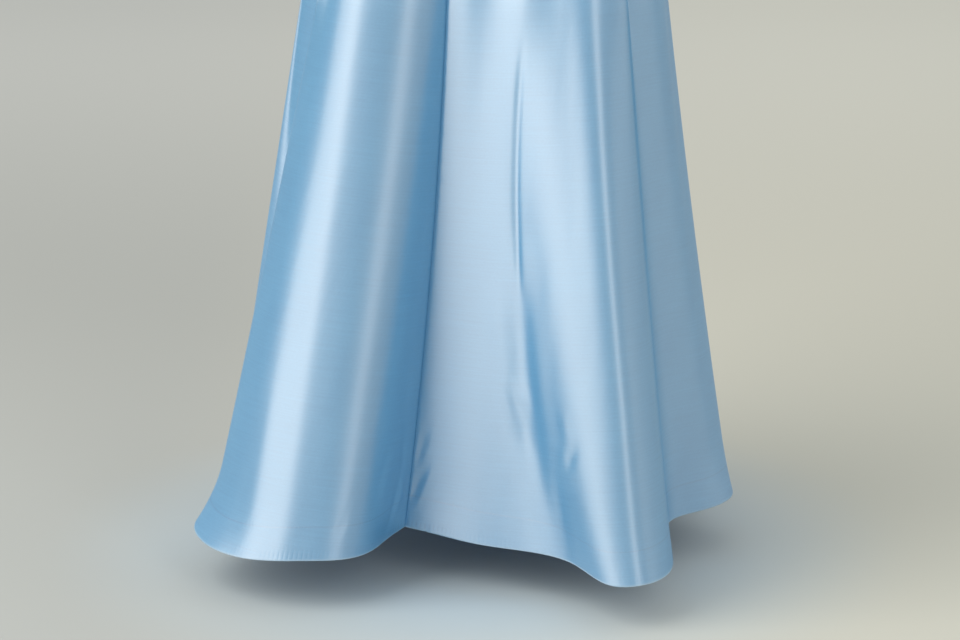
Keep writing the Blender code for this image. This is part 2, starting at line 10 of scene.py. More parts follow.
import bmesh
import bpy
import numpy as np
from bpy.props import FloatProperty, FloatVectorProperty, PointerProperty
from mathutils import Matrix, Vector


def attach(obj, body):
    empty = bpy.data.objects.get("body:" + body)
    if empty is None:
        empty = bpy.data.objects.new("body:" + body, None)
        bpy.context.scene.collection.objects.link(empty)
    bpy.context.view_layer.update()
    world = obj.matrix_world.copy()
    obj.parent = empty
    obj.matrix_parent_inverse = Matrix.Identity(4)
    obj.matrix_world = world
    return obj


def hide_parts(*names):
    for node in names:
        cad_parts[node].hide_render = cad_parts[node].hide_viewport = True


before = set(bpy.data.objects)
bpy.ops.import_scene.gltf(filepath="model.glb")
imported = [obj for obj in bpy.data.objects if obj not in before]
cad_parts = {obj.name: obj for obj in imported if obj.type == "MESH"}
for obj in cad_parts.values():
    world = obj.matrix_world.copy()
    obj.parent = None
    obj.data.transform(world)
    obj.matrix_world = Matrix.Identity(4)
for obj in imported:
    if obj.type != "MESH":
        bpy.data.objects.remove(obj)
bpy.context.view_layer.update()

bl_info = {
    "name": "Satin Party Dress",
    "version": (1, 0, 0),
    "blender": (4, 5, 0),
    "location": "3D View > Sidebar > Dress",
    "description": "Fine cloth, straps, zip and studio for a floor-length satin dress",
    "category": "Object",
}

BODY = "gown"

# Heights above the floor.
SHOULDER_HEIGHT = 1.400
WAIST_HEIGHT = 1.060
HIP_HEIGHT = 0.870
THIGH_HEIGHT = 0.680
SEAM_GAP = 0.0003

# How the skirt falls.
HIPS_LIFT = 0.40
FLARE = 0.12
KICK_HEIGHT = 0.075

# Half sizes of the general figure at each height: half width, and depth from the axis to front and back.
Section = namedtuple("Section", "height side front back")
TORSO = (
    Section(HIP_HEIGHT, 0.174, 0.116, 0.128),
    Section(0.960, 0.154, 0.106, 0.108),
    Section(WAIST_HEIGHT, 0.126, 0.093, 0.089),
    Section(1.140, 0.134, 0.099, 0.088),
    Section(1.210, 0.145, 0.108, 0.093),
    Section(1.270, 0.149, 0.106, 0.097),
    Section(1.330, 0.146, 0.096, 0.092),
)
TORSO_SQUARENESS = 2.25

# Bust cups, as a soft swelling each side of the centre front.
CUP_TURN = 37.0
CUP_HEIGHT = 1.205
CUP_SWELL = 0.030
CUP_HALF_TURN = 27.0
CUP_HALF_HEIGHT = 0.060

# Top edge of the bodice, the same on both sides. Turn is in degrees from the centre back.
EdgePoint = namedtuple("EdgePoint", "turn height")
TOP_EDGE = (
    EdgePoint(0, 1.214),
    EdgePoint(35, 1.219),
    EdgePoint(62, 1.229),
    EdgePoint(90, 1.236),
    EdgePoint(118, 1.262),
    EdgePoint(138, 1.302),
    EdgePoint(147, 1.302),
    EdgePoint(180, 1.256),
)

# Fold lines of the skirt, once round from the centre back to the right, as in the model.
FoldLine = namedtuple(
    "FoldLine", "name hip_turn thigh_turn thigh_reach hem_turn hem_reach rise kick sway belly"
)
FOLDS = (
    FoldLine("centre back seam", 0, 0, 0.145, -17.28, 0.165, 0.067, 0.000, 0.005, 0.000),
    FoldLine("right panel start", 8, 7, 0.149, -6.1, 0.1627, 0.064, 0.002, 0.003, 0.001),
    FoldLine("right panel middle", 20, 15, 0.155, 13.1, 0.1754, 0.059, 0.002, 0.000, 0.003),
    FoldLine("right panel end", 35, 24.9, 0.170, 33.6, 0.2172, 0.058, 0.001, -0.013, -0.002),
    FoldLine("right fold root", 41, 30.5, 0.185, 38.7, 0.257, 0.058, 0.001, -0.018, -0.013),
    FoldLine("right fold flank", 48, 37.4, 0.203, 40.0, 0.300, 0.055, 0.002, -0.017, -0.009),
    FoldLine("right fold shoulder", 53, 42.0, 0.217, 42.0, 0.333, 0.053, 0.003, -0.012, -0.004),
    FoldLine("right fold crest", 59, 46.8, 0.229, 47.5, 0.349, 0.055, 0.004, -0.009, 0.005),
    FoldLine("right fold edge", 65, 53.0, 0.238, 54.2, 0.339, 0.055, 0.003, -0.003, 0.003),
    FoldLine("right tuck", 71, 59.1, 0.2365, 66.5, 0.281, 0.058, 0.001, 0.000, 0.000),
    FoldLine("right tuck floor", 75, 63.5, 0.2375, 84.0, 0.250, 0.060, 0.000, 0.000, 0.000),
    FoldLine("right side rise", 80, 71.0, 0.238, 91.4, 0.272, 0.060, 0.002, 0.000, 0.000),
    FoldLine("right side ridge", 86, 91.0, 0.222, 103.8, 0.308, 0.060, 0.004, 0.000, 0.000),
    FoldLine("right side seam", 90, 99.0, 0.212, 110.0, 0.306, 0.060, 0.003, 0.000, 0.000),
    FoldLine("right front valley", 106, 117.0, 0.184, 123.0, 0.262, 0.058, 0.000, 0.000, 0.000),
    FoldLine("right front ridge", 128, 135.0, 0.190, 139.0, 0.328, 0.058, 0.006, 0.000, 0.000),
    FoldLine("right front flank", 144, 149.0, 0.168, 152.0, 0.290, 0.058, 0.002, 0.000, 0.000),
    FoldLine("middle right valley", 160, 163.0, 0.158, 164.0, 0.262, 0.057, 0.000, 0.000, 0.000),
    FoldLine("centre front ridge", 181, 181.0, 0.165, 182.0, 0.312, 0.056, 0.005, 0.000, 0.000),
    FoldLine("middle left valley", 201, 199.0, 0.157, 197.0, 0.258, 0.057, 0.000, 0.000, 0.000),
    FoldLine("left front flank", 217, 213.0, 0.170, 209.0, 0.284, 0.058, 0.002, 0.000, 0.000),
    FoldLine("left front ridge", 233, 229.0, 0.192, 222.0, 0.330, 0.058, 0.006, 0.000, 0.000),
    FoldLine("left front valley", 256, 250.0, 0.184, 240.0, 0.268, 0.059, 0.000, 0.000, 0.000),
    FoldLine("left side seam", 270, 264.0, 0.200, 257.0, 0.312, 0.060, 0.003, 0.000, 0.000),
    FoldLine("left side ridge", 279, 277.0, 0.209, 267.0, 0.328, 0.060, 0.004, 0.000, 0.004),
    FoldLine("left tuck", 290, 291.0, 0.184, 285.0, 0.298, 0.060, 0.000, 0.000, 0.000),
    FoldLine("left fold edge", 300, 309.0, 0.202, 306.1, 0.3613, 0.065, 0.019, 0.000, 0.003),
    FoldLine("left fold outer flank", 311, 323.1, 0.211, 316.7, 0.3625, 0.0582, 0.011, 0.000, 0.000),
    FoldLine("left fold inner flank", 320, 331.0, 0.210, 324.82, 0.3429, 0.057, 0.004, 0.000, 0.000),
    FoldLine("left fold crest", 330, 341.0, 0.201, 335.29, 0.3147, 0.063, 0.002, 0.000, 0.000),
    FoldLine("left fold shoulder", 340, 348.0, 0.186, 341.0, 0.2864, 0.0625, 0.002, 0.000, 0.000),
    FoldLine("left fold wall", 348, 353.3, 0.170, 343.5, 0.2471, 0.061, 0.001, 0.003, 0.000),
    FoldLine("left fold root", 354, 357.0, 0.157, 342.6, 0.1982, 0.0635, 0.000, 0.005, 0.000),
    FoldLine("back seam left", 360, 360, 0.145, 342.72, 0.165, 0.067, 0.000, 0.005, 0.000),
)
LINE_NUMBERS = np.arange(len(FOLDS))

# Long soft creases of the skirt. A path is (fold line number, height) pairs from the top down, where 3.5 is
# half way between lines 3 and 4; half_width and depth are in metres, and a depth below zero is a trough.
Crease = namedtuple("Crease", "name path half_width depth")
SKIRT_CREASES = (
    Crease(
        "fine crease, right panel",
        ((3.95, 0.63), (3.80, 0.54), (3.68, 0.47), (3.60, 0.38)),
        0.0046,
        -0.0013,
    ),
    Crease(
        "left side of the valley",
        ((4.4, 0.42), (4.2, 0.37), (3.3, 0.27), (3.0, 0.20), (3.1, 0.10)),
        0.019,
        -0.0013,
    ),
    Crease("bank left of the valley", ((2.6, 0.36), (2.7, 0.26), (2.85, 0.19), (3.2, 0.09)), 0.016, 0.0012),
    Crease("soft floor of the valley", ((4.05, 0.42), (4.10, 0.28), (4.15, 0.11)), 0.018, 0.0022),
    Crease(
        "right fold crest",
        ((7.15, 1.00), (7.15, 0.60), (7.0, 0.25), (6.8, 0.05), (6.7, -0.12)),
        0.024,
        0.0045,
    ),
    Crease(
        "left fold crest",
        ((27.45, 0.95), (27.45, 0.50), (27.5, 0.38), (27.6, 0.26), (28.0, 0.10), (28.1, -0.12)),
        0.031,
        0.0056,
    ),
    Crease(
        "right of the left fold crest",
        ((28.35, 0.95), (28.4, 0.50), (28.45, 0.26), (28.6, 0.10), (28.6, -0.12)),
        0.019,
        0.0024,
    ),
    Crease("right side hollow", ((11.6, 0.80), (11.6, 0.40), (11.7, 0.08)), 0.016, -0.0014),
    Crease("left fold outer hollow", ((27.4, 0.60), (27.5, 0.30), (27.4, 0.12)), 0.014, -0.0008),
    Crease("front hollow right", ((16.4, 0.85), (16.4, 0.50), (16.5, 0.10)), 0.014, -0.0016),
    Crease("front bank right", ((15.4, 0.80), (15.4, 0.45), (15.4, 0.08)), 0.012, 0.0014),
    Crease("front hollow middle", ((18.6, 0.80), (18.5, 0.50), (18.6, 0.10)), 0.012, -0.0012),
    Crease("front bank left", ((21.5, 0.84), (21.4, 0.45), (21.4, 0.08)), 0.014, 0.0016),
    Crease("front hollow left", ((20.4, 0.75), (20.5, 0.40), (20.4, 0.09)), 0.012, -0.0014),
)

# Short dents: where they lie, half length and half width, and their lean to the right in degrees.
Dent = namedtuple("Dent", "name line height half_length half_width lean depth")
SKIRT_DENTS = (
    Dent("upper dent by the valley", 2.86, 0.238, 0.018, 0.0072, -28, -0.0008),
    Dent("bank over the upper dent", 3.14, 0.247, 0.019, 0.0085, -28, 0.0007),
    Dent("foot of the upper dent", 3.05, 0.205, 0.021, 0.0100, -24, -0.0009),
    Dent("lower dent by the valley", 4.95, 0.222, 0.020, 0.0080, -22, 0.0007),
    Dent("foot of the lower dent", 5.05, 0.190, 0.018, 0.0070, 18, -0.0008),
    Dent("bank of the lower dent", 4.75, 0.180, 0.020, 0.0080, -24, 0.0006),
    Dent("low valley of the right fold", 4.15, 0.130, 0.045, 0.0110, -16, -0.0016),
    Dent("pucker right of the seam, high", 0.30, 0.165, 0.022, 0.0050, 12, -0.0011),
    Dent("pucker right of the seam, low", 0.28, 0.118, 0.024, 0.0060, 22, -0.0015),
    Dent("bulge right of the seam", 0.62, 0.120, 0.026, 0.0060, 20, 0.0010),
    Dent("knuckle right of the seam", 0.85, 0.066, 0.007, 0.0022, 4, -0.0009),
    Dent("pucker left of the seam, high", 32.30, 0.165, 0.028, 0.0045, -30, -0.0014),
    Dent("pucker left of the seam, middle", 32.50, 0.115, 0.028, 0.0050, -26, 0.0016),
    Dent("pucker left of the seam, low", 32.05, 0.100, 0.026, 0.0045, -26, -0.0013),
    Dent("dent on the left wall", 31.2, 0.150, 0.030, 0.0070, -10, -0.0012),
    Dent("faint dent on the left fold", 29.9, 0.100, 0.016, 0.0040, -16, -0.0006),
    Dent("hip dent right", 12.6, 0.800, 0.030, 0.008, 20, -0.0010),
    Dent("hip dent left", 23.5, 0.810, 0.030, 0.008, -20, -0.0010),
    Dent("front knee dent right", 16.0, 0.420, 0.030, 0.008, 30, -0.0014),
    Dent("front knee dent left", 20.6, 0.380, 0.030, 0.008, -28, -0.0014),
)

# Panels: their seams on the skirt as fold lines, and on the bodice as turns, and their grids.
SkirtPanel = namedtuple("SkirtPanel", "node start end columns")
SKIRT_PANELS = (
    SkirtPanel("skirt_back_right", "centre back seam", "right side seam", 190),
    SkirtPanel("skirt_front", "right side seam", "left side seam", 190),
    SkirtPanel("skirt_back_left", "left side seam", "back seam left", 170),
)
BodicePanel = namedtuple("BodicePanel", "node start end columns")
BODICE_PANELS = (
    BodicePanel("bodice_back_right", 0.0, 90.0, 90),
    BodicePanel("bodice_front", 90.0, 270.0, 220),
    BodicePanel("bodice_back_left", 270.0, 360.0, 90),
)
SKIRT_ROWS = 200
BODICE_ROWS = 90

# Rows and columns close beside an edge, and the depths of the few that are turned in at a seam.
EDGE_STEPS = (0.0, 0.0005, 0.0011, 0.0019, 0.0030)
LIP_DEPTHS = (0.0022, 0.0014, 0.0007)

# How far from a seam the cloth leans into it and creases stay calm, and the roundness of the hem's fold.
SEAM_REACH = 0.005
CALM_REACH = 0.006
HEM_ROUNDING = 0.0008
HEM_ROUNDING_SHARE = 0.25
CREASE_FADE = 0.3

# Middle sizes that only space out the grids.
HEM_LIFT = 0.06
BODICE_RADIUS = 0.11
BODICE_HEIGHT = 0.18

# Where the weave of each part starts, so that neighbours don't repeat each other.
SKIRT_WEAVE_RUN = 3.2
BODICE_WEAVE_RUN = 0.01
BODICE_WEAVE_DOWN = 1.5
STRAP_WEAVE_START = 5.0

# Darts of the bodice front: turn from the centre front and height at each end, the first in a seam.
Dart = namedtuple("Dart", "name foot_turn foot_height tip_turn tip_height")
DARTS = (
    Dart("waist", 24.0, WAIST_HEIGHT, 31.0, 1.165),
    Dart("side", 90.0, 1.150, 58.0, 1.190),
)
DART_RADIUS = 0.125
DART_DEPTH_SHARE = 0.7
DART_WIDTH_SHARE = 1.2
TOP_EDGE_SHARE = 0.8

# Straps and zip, as in the model.
STRAP_FRONT_TURN = 141.5
STRAP_BACK_TURN = 47.0
STRAP_TUCK = 0.014
STRAP_LIP = 0.001
SHOULDER_HALF_WIDTH = 0.097
SHOULDER_FORWARD = 0.004
SHOULDER_SLOPE = 16.0
ARCH_HALF_LENGTH = 0.046
ARCH_DROP = 0.014
BODICE_CLOTH = 0.0020
STRAP_CLOTH = 0.0020
STRAP_WIDTH = 0.011
STRAP_ROWS = 220
STRAP_COLUMNS = 13
STRAP_CROWN = 0.0005
ZIP_END_HEIGHT = 0.885
TAPE_CLOTH = 0.0010
TAPE_STAND_OFF = 0.0006
COIL_DROP = 0.020
COIL_STOP = 0.004
COIL_PITCH = 0.0014
COIL_DEPTH = 0.0006
COIL_HALF_WIDTH = 0.0010
COIL_WIRE = 0.00022
COIL_STEPS = 9
COIL_SIDES = 5
COIL_SPREAD = 0.6

# The satin's unevenness: waves per metre across the cloth, down it and in depth, and heights in metres.
STREAKS = (13.0, 480.0, 1.0)
GRAIN = (330.0, 420.0, 1.0)
CLOUDS = (16.0, 7.0, 1.0)
STITCH_STRETCHES = (7.0, 1.0, 1.0)
DIMPLE_STRETCHES = (9.0, 1.0, 4.0)
SEAM_RIPPLES = (60.0, 75.0, 1.0)
SOFT_WAVES = (26.0, 3.2, 1.0)
WEFT = (9.0, 620.0, 1.0)
WEFT_HEIGHT = 0.000012
SLUBS = (22.0, 160.0, 1.0)
SLUB_HEIGHT = 0.000022
CRUMPLES = (85.0, 14.0, 1.0)
CRUMPLE_HEIGHT = 0.00004
HEM_STEP = 0.00012
STITCH_PULL = 0.00006
STITCH_ROW = 0.0065
RIB_PITCH = 0.0009
SATIN_LUSTRE = {"IOR": 2.3, "Specular IOR Level": 1.0, "Anisotropic": 0.86, "Anisotropic Rotation": 0.25}

# Camera: turn and rise round the dress, distance and height of what it looks at, and lens.
CAMERA_TURN = 15.0
CAMERA_RISE = 16.0
CAMERA_AWAY = 3.6
CAMERA_LOOKS_AT = 0.28
CAMERA_LENS = 112.5
CAMERA_SENSOR = 36.0

# Lights: turn from the camera's direction, to the right above zero, with height, distance, size and colour.
Lamp = namedtuple("Lamp", "name power turn height away size colour")
LAMPS = (
    Lamp("key light", "key_power", -61, 2.4, 3.0, (2.8, 4.8), (1.0, 0.94, 0.865)),
    Lamp("second light", "second_power", 28, 1.8, 3.6, (1.2, 2.8), (1.0, 0.99, 0.98)),
    Lamp("side fill", "side_power", 92, 1.6, 3.2, (2.4, 3.0), (1.0, 0.99, 0.97)),
)
LAMPS_AIM = 0.5
GLOW_COLOUR = (1.0, 1.0, 0.98, 1.0)
FLOOR_HALF_SIZE = 60.0
FLOOR_SEGMENTS = 40


def level(height):
    """A height above the floor as a Z in the frame, whose zero is the shoulder."""
    return height - SHOULDER_HEIGHT


def smooth_through(knots, values, at):
    """Natural cubic spline through the values at the knots, read at the places given."""
    knots = np.asarray(knots, float)
    values = np.asarray(values, float)
    at = np.clip(np.asarray(at, float), knots[0], knots[-1])
    gaps = np.diff(knots)
    slopes = np.diff(values) / gaps
    count = len(knots)
    matrix = np.eye(count)
    right = np.zeros(count)
    for i in range(1, count - 1):
        matrix[i, i - 1 : i + 2] = gaps[i - 1], 2 * (gaps[i - 1] + gaps[i]), gaps[i]
        right[i] = 6 * (slopes[i] - slopes[i - 1])
    bends = np.linalg.solve(matrix, right)
    i = np.clip(np.searchsorted(knots, at, side="right") - 1, 0, count - 2)
    left, past = at - knots[i], knots[i + 1] - at
    return (
        (bends[i] * past**3 + bends[i + 1] * left**3) / (6 * gaps[i])
        + (values[i] / gaps[i] - bends[i] * gaps[i] / 6) * past
        + (values[i + 1] / gaps[i] - bends[i + 1] * gaps[i] / 6) * left
    )


def smooth_step(value):
    """Eases from 0 to 1 as the value does."""
    value = np.clip(value, 0.0, 1.0)
    return value * value * (3 - 2 * value)


def on_plan(turn, reach, z):
    """Points at a turn in degrees and a reach from the axis, as an array of x, y, z."""
    angle = np.radians(turn)
    x, y = reach * np.sin(angle), -reach * np.cos(angle)
    return np.stack(np.broadcast_arrays(x, y, z), axis=-1).astype(float)


def torso_reach(turn, height):
    """Distance from the axis to the outside of the figure, with its bust cups."""
    heights = [s.height for s in TORSO]
    side, front, back = (
        smooth_through(heights, [getattr(s, part) for s in TORSO], height)
        for part in ("side", "front", "back")
    )
    angle = np.radians(turn)
    depth = np.where(np.cos(angle) < 0, front, back)
    n = TORSO_SQUARENESS
    reach = (np.abs(np.sin(angle) / side) ** n + np.abs(np.cos(angle) / depth) ** n) ** (-1 / n)
    off_front = np.abs(np.mod(turn, 360.0) - 180.0)
    across = (off_front - CUP_TURN) / CUP_HALF_TURN
    upright = (height - CUP_HEIGHT) / CUP_HALF_HEIGHT
    return reach + CUP_SWELL * np.exp(-(across**2) - upright**2)


def top_edge_height(turn):
    """Height of the bodice's top edge, the same left and right."""
    off_back = 180.0 - np.abs(np.mod(turn, 360.0) - 180.0)
    return smooth_through([p.turn for p in TOP_EDGE], [p.height for p in TOP_EDGE], off_back)


def fold_knots():
    """Where each fold line lies along the cloth, as a share of the hem's length from the seam, 0 to 1."""
    hem = on_plan(np.array([f.hem_turn for f in FOLDS]), np.array([f.hem_reach for f in FOLDS]), 0.0)
    lengths = np.linalg.norm(np.diff(hem, axis=0), axis=1)
    return np.concatenate([[0.0], np.cumsum(lengths) / lengths.sum()])


KNOTS = fold_knots()


def knot_of(name):
    return KNOTS[[f.name for f in FOLDS].index(name)]


def from_table(column, at):
    """One column of the fold table, running smoothly round the cloth."""
    return smooth_through(KNOTS, [getattr(f, column) for f in FOLDS], at)


def ring_through(turn_field, reach_field, at, z):
    """A ring of the skirt: the cloth's smooth run through one pair of the table's columns."""
    corners = on_plan(
        np.array([getattr(f, turn_field) for f in FOLDS]),
        np.array([getattr(f, reach_field) for f in FOLDS]),
        0.0,
    )
    x = smooth_through(KNOTS, corners[:, 0], at)
    y = smooth_through(KNOTS, corners[:, 1], at)
    return np.stack(np.broadcast_arrays(x, y, z), axis=-1)


def outward(points):
    """Level unit vectors away from the axis."""
    plan = points * np.array([1.0, 1.0, 0.0])
    return plan / np.linalg.norm(plan, axis=-1, keepdims=True)


def hermite(start, start_slope, end, end_slope, t):
    """Cubic between two points with a slope at each."""
    a, b = (1 + 2 * t) * (1 - t) ** 2, t * (1 - t) ** 2
    c, d = t * t * (3 - 2 * t), t * t * (t - 1)
    return a * start + b * start_slope + c * end + d * end_slope


def skirt_point(at, fall):
    """Outer face of the skirt at a share round the hem, and at a fall: 0 waist, 1 hips, 2 thighs, 3 hem."""
    at = np.asarray(at, float)
    hip_turn = from_table("hip_turn", at)
    waist = on_plan(hip_turn, torso_reach(hip_turn, WAIST_HEIGHT), level(WAIST_HEIGHT) - SEAM_GAP / 2)
    thigh = ring_through("thigh_turn", "thigh_reach", at, level(THIGH_HEIGHT))
    rise = from_table("rise", at)
    hem = ring_through("hem_turn", "hem_reach", at, level(rise))
    out = outward(thigh + hem)
    aside = np.cross(np.array([0.0, 0.0, 1.0]), out)
    kick = from_table("kick", at)[:, None] * out
    bow = 4 * (from_table("sway", at)[:, None] * aside + from_table("belly", at)[:, None] * out)
    drop = (THIGH_HEIGHT - rise)[:, None]
    straight = hem - kick - thigh
    flat = np.array([1.0, 1.0, 0.0])
    if fall > 2:
        f = fall - 2
        spring = np.clip(1 - (1 - f) * drop / KICK_HEIGHT, 0.0, 1.0) ** 2
        return thigh + straight * (f + FLARE * (f * f - f) * flat) + bow * (f - f * f) + kick * spring
    snug = on_plan(hip_turn, torso_reach(hip_turn, HIP_HEIGHT), level(HIP_HEIGHT))
    lifted = (waist + thigh) / 2
    lifted[:, 2] = level(HIP_HEIGHT)
    hip = snug + HIPS_LIFT * (lifted - snug)
    thigh_slope = (straight * (1 - FLARE * flat) + bow) * (HIP_HEIGHT - THIGH_HEIGHT) / drop
    hip_slope = (thigh - waist) / 2
    if fall > 1:
        return hermite(hip, hip_slope, thigh, thigh_slope, fall - 1)
    return hermite(waist, hip - waist, hip, hip_slope, fall)


def bodice_point(turn, share):
    """Outer face of the bodice at a turn, from 0 at the top edge to 1 at the waist seam."""
    foot = WAIST_HEIGHT + SEAM_GAP / 2
    height = foot + (top_edge_height(turn) - foot) * (1 - share)
    return on_plan(turn, torso_reach(turn, height), level(height))


def close_to_edges(length, steps, count):
    """Shares from 0 to 1 along a length, evenly spread but for the close steps at both ends."""
    close = np.array(steps) / length
    inner = np.linspace(close[-1], 1 - close[-1], count - 2 * len(steps) + 3)[1:-1]
    return np.concatenate([close, inner, 1 - close[::-1]])


def grid_normals(points):
    """Outward unit normals of a grid of points whose rows run downwards and columns to the right."""
    normals = np.cross(np.gradient(points, axis=0), np.gradient(points, axis=1))
    return normals / np.linalg.norm(normals, axis=2, keepdims=True)


def along(points, axis):
    """Distance run along the rows (axis 1) or columns (axis 0) of a grid of points."""
    steps = np.linalg.norm(np.diff(points, axis=axis), axis=2)
    start = np.zeros((1, points.shape[1])) if axis == 0 else np.zeros((points.shape[0], 1))
    return np.concatenate([start, np.cumsum(steps, axis=axis)], axis=axis)


def crease_relief(crease, at, across, heights):
    """How far one long crease raises or lowers each point of a skirt panel."""
    lines, path_heights = (np.array(column, float) for column in zip(*crease.path))
    order = np.argsort(path_heights)
    row_heights = heights.mean(axis=1)
    line = np.interp(row_heights, path_heights[order], lines[order])
    centre_at = np.interp(line, LINE_NUMBERS, KNOTS)
    if centre_at.max() < at[0] or centre_at.min() > at[-1]:
        return 0.0
    centre = np.array([np.interp(c, at, row) for c, row in zip(centre_at, across)])
    span = path_heights.max() - path_heights.min()
    from_end = np.minimum(row_heights - path_heights.min(), path_heights.max() - row_heights)
    fade = smooth_step(from_end / (CREASE_FADE * span) + 0.5)
    return crease.depth * fade[:, None] * np.exp(-(((across - centre[:, None]) / crease.half_width) ** 2))


def dent_relief(dent, at, across, heights):
    """How far one short dent raises or lowers each point of a skirt panel."""
    centre_at = np.interp(dent.line, LINE_NUMBERS, KNOTS)
    if not at[0] <= centre_at <= at[-1]:
        return 0.0
    row = int(np.argmin(np.abs(heights.mean(axis=1) - dent.height)))
    east = across - np.interp(centre_at, at, across[row])
    north = heights - dent.height
    lean = math.radians(dent.lean)
    along_it = north * math.cos(lean) + east * math.sin(lean)
    across_it = east * math.cos(lean) - north * math.sin(lean)
    return dent.depth * np.exp(-((along_it / dent.half_length) ** 2) - (across_it / dent.half_width) ** 2)


def seam_roll(distance, sizes):
    """How far cloth turns in as it reaches a seam."""
    return -sizes.seam_depth * np.exp(-((distance / sizes.seam_width) ** 2))


def unit(vectors):
    return vectors / np.linalg.norm(vectors, axis=-1, keepdims=True)


def with_lips(grid, edge, inward=None):
    """A grid with a few more rows ("top" or "bottom") or columns ("left" or "right") turned in at a seam.

    Points get the inward direction for each place along the edge; any other grid repeats its own edge.
    """
    flip = edge in ("bottom", "right")
    sideways = edge in ("left", "right")
    grid = np.swapaxes(grid, 0, 1) if sideways else grid
    grid = grid[::-1] if flip else grid
    lip = [grid[0] + (0.0 if inward is None else inward * depth) for depth in LIP_DEPTHS]
    grid = np.concatenate([lip, grid])
    grid = grid[::-1] if flip else grid
    return np.swapaxes(grid, 0, 1) if sideways else grid


def turned_in(grids, edge, inward):
    """Adds one edge's lip to each of a panel's grids; only the points move inwards."""
    return {key: with_lips(grid, edge, inward if key == "points" else None) for key, grid in grids.items()}


def back_seam_outward(falls):
    """The way out of the valley of the centre back seam, at each row: the mean of its two sides' normals."""
    step = 0.0004
    sides = []
    for share in (0.0, 1.0 - 3 * step):
        strip = np.stack([skirt_point(share + step * np.arange(4), fall) for fall in falls])
        sides.append(grid_normals(strip)[:, 1])
    return unit(sides[0] + sides[1])


def cloth_piece(name, points, finishes, thickness, uv, attributes=None, thick_rows=None, thick=None):
    """A sheet of cloth through a grid of points, from top to bottom, with its thickness on the inside."""
    rows, columns = points.shape[0] - 1, points.shape[1] - 1
    bm = bmesh.new()
    bmesh.ops.create_grid(bm, x_segments=columns, y_segments=rows, size=1.0)
    mesh = bpy.data.meshes.new(name)
    bm.to_mesh(mesh)
    bm.free()
    flat = np.empty(len(mesh.vertices) * 3)
    mesh.vertices.foreach_get("co", flat)
    flat = flat.reshape(-1, 3)
    column = np.rint((flat[:, 0] + 1) / 2 * columns).astype(int)
    row = np.rint((1 - flat[:, 1]) / 2 * rows).astype(int)
    mesh.vertices.foreach_set("co", points[row, column].ravel())
    corner = np.empty(len(mesh.loops), dtype=np.int64)
    mesh.loops.foreach_get("vertex_index", corner)
    layer = mesh.uv_layers.new(name="cloth")
    layer.data.foreach_set("uv", uv[row, column][corner].ravel())
    for key, values in (attributes or {}).items():
        mesh.attributes.new(key, "FLOAT", "POINT").data.foreach_set("value", values[row, column])
    mesh.shade_smooth()
    mesh.update()
    piece = bpy.data.objects.new(name, mesh)
    for finish in finishes:
        mesh.materials.append(finish)
    bpy.context.scene.collection.objects.link(piece)
    solidify = piece.modifiers.new("thickness", "SOLIDIFY")
    solidify.offset = -1.0
    solidify.thickness = thickness
    solidify.material_offset = len(finishes) - 1
    if thick_rows is not None:
        group = piece.vertex_groups.new(name="thicker")
        group.add([int(i) for i in np.flatnonzero(thick_rows[row])], 1.0, "REPLACE")
        solidify.vertex_group = group.name
        solidify.thickness = thick
        solidify.thickness_vertex_group = thickness / thick
    return piece


def sheet_area(points):
    """Area of a grid of points, one side."""
    down = points[1:, :-1] - points[:-1, :-1]
    right = points[:-1, 1:] - points[:-1, :-1]
    return float(np.linalg.norm(np.cross(down, right), axis=2).sum())


def declare_sheet(points):
    """Works out a panel's flat box and its area, which nothing then uses."""
    width = float(along(points, 1)[:, -1].max())
    length = float(along(points, 0)[-1].max())
    area = min(sheet_area(points), width * length)


class Number:
    """A shader socket that carries one number; sums and products of it add Math nodes."""

    def __init__(self, finish, socket):
        self.finish = finish
        self.socket = socket

    def maths(self, operation, *others):
        return self.finish.maths(operation, self, *others)

    def __add__(self, other):
        return self.maths("ADD", other)

    __radd__ = __add__

    def __mul__(self, other):
        return self.maths("MULTIPLY", other)

    __rmul__ = __mul__

    def __sub__(self, other):
        return self.maths("SUBTRACT", other)

    def __rsub__(self, other):
        return self.finish.maths("SUBTRACT", other, self)

    def __truediv__(self, other):
        return self.maths("DIVIDE", other)

    def __neg__(self):
        return self * -1.0


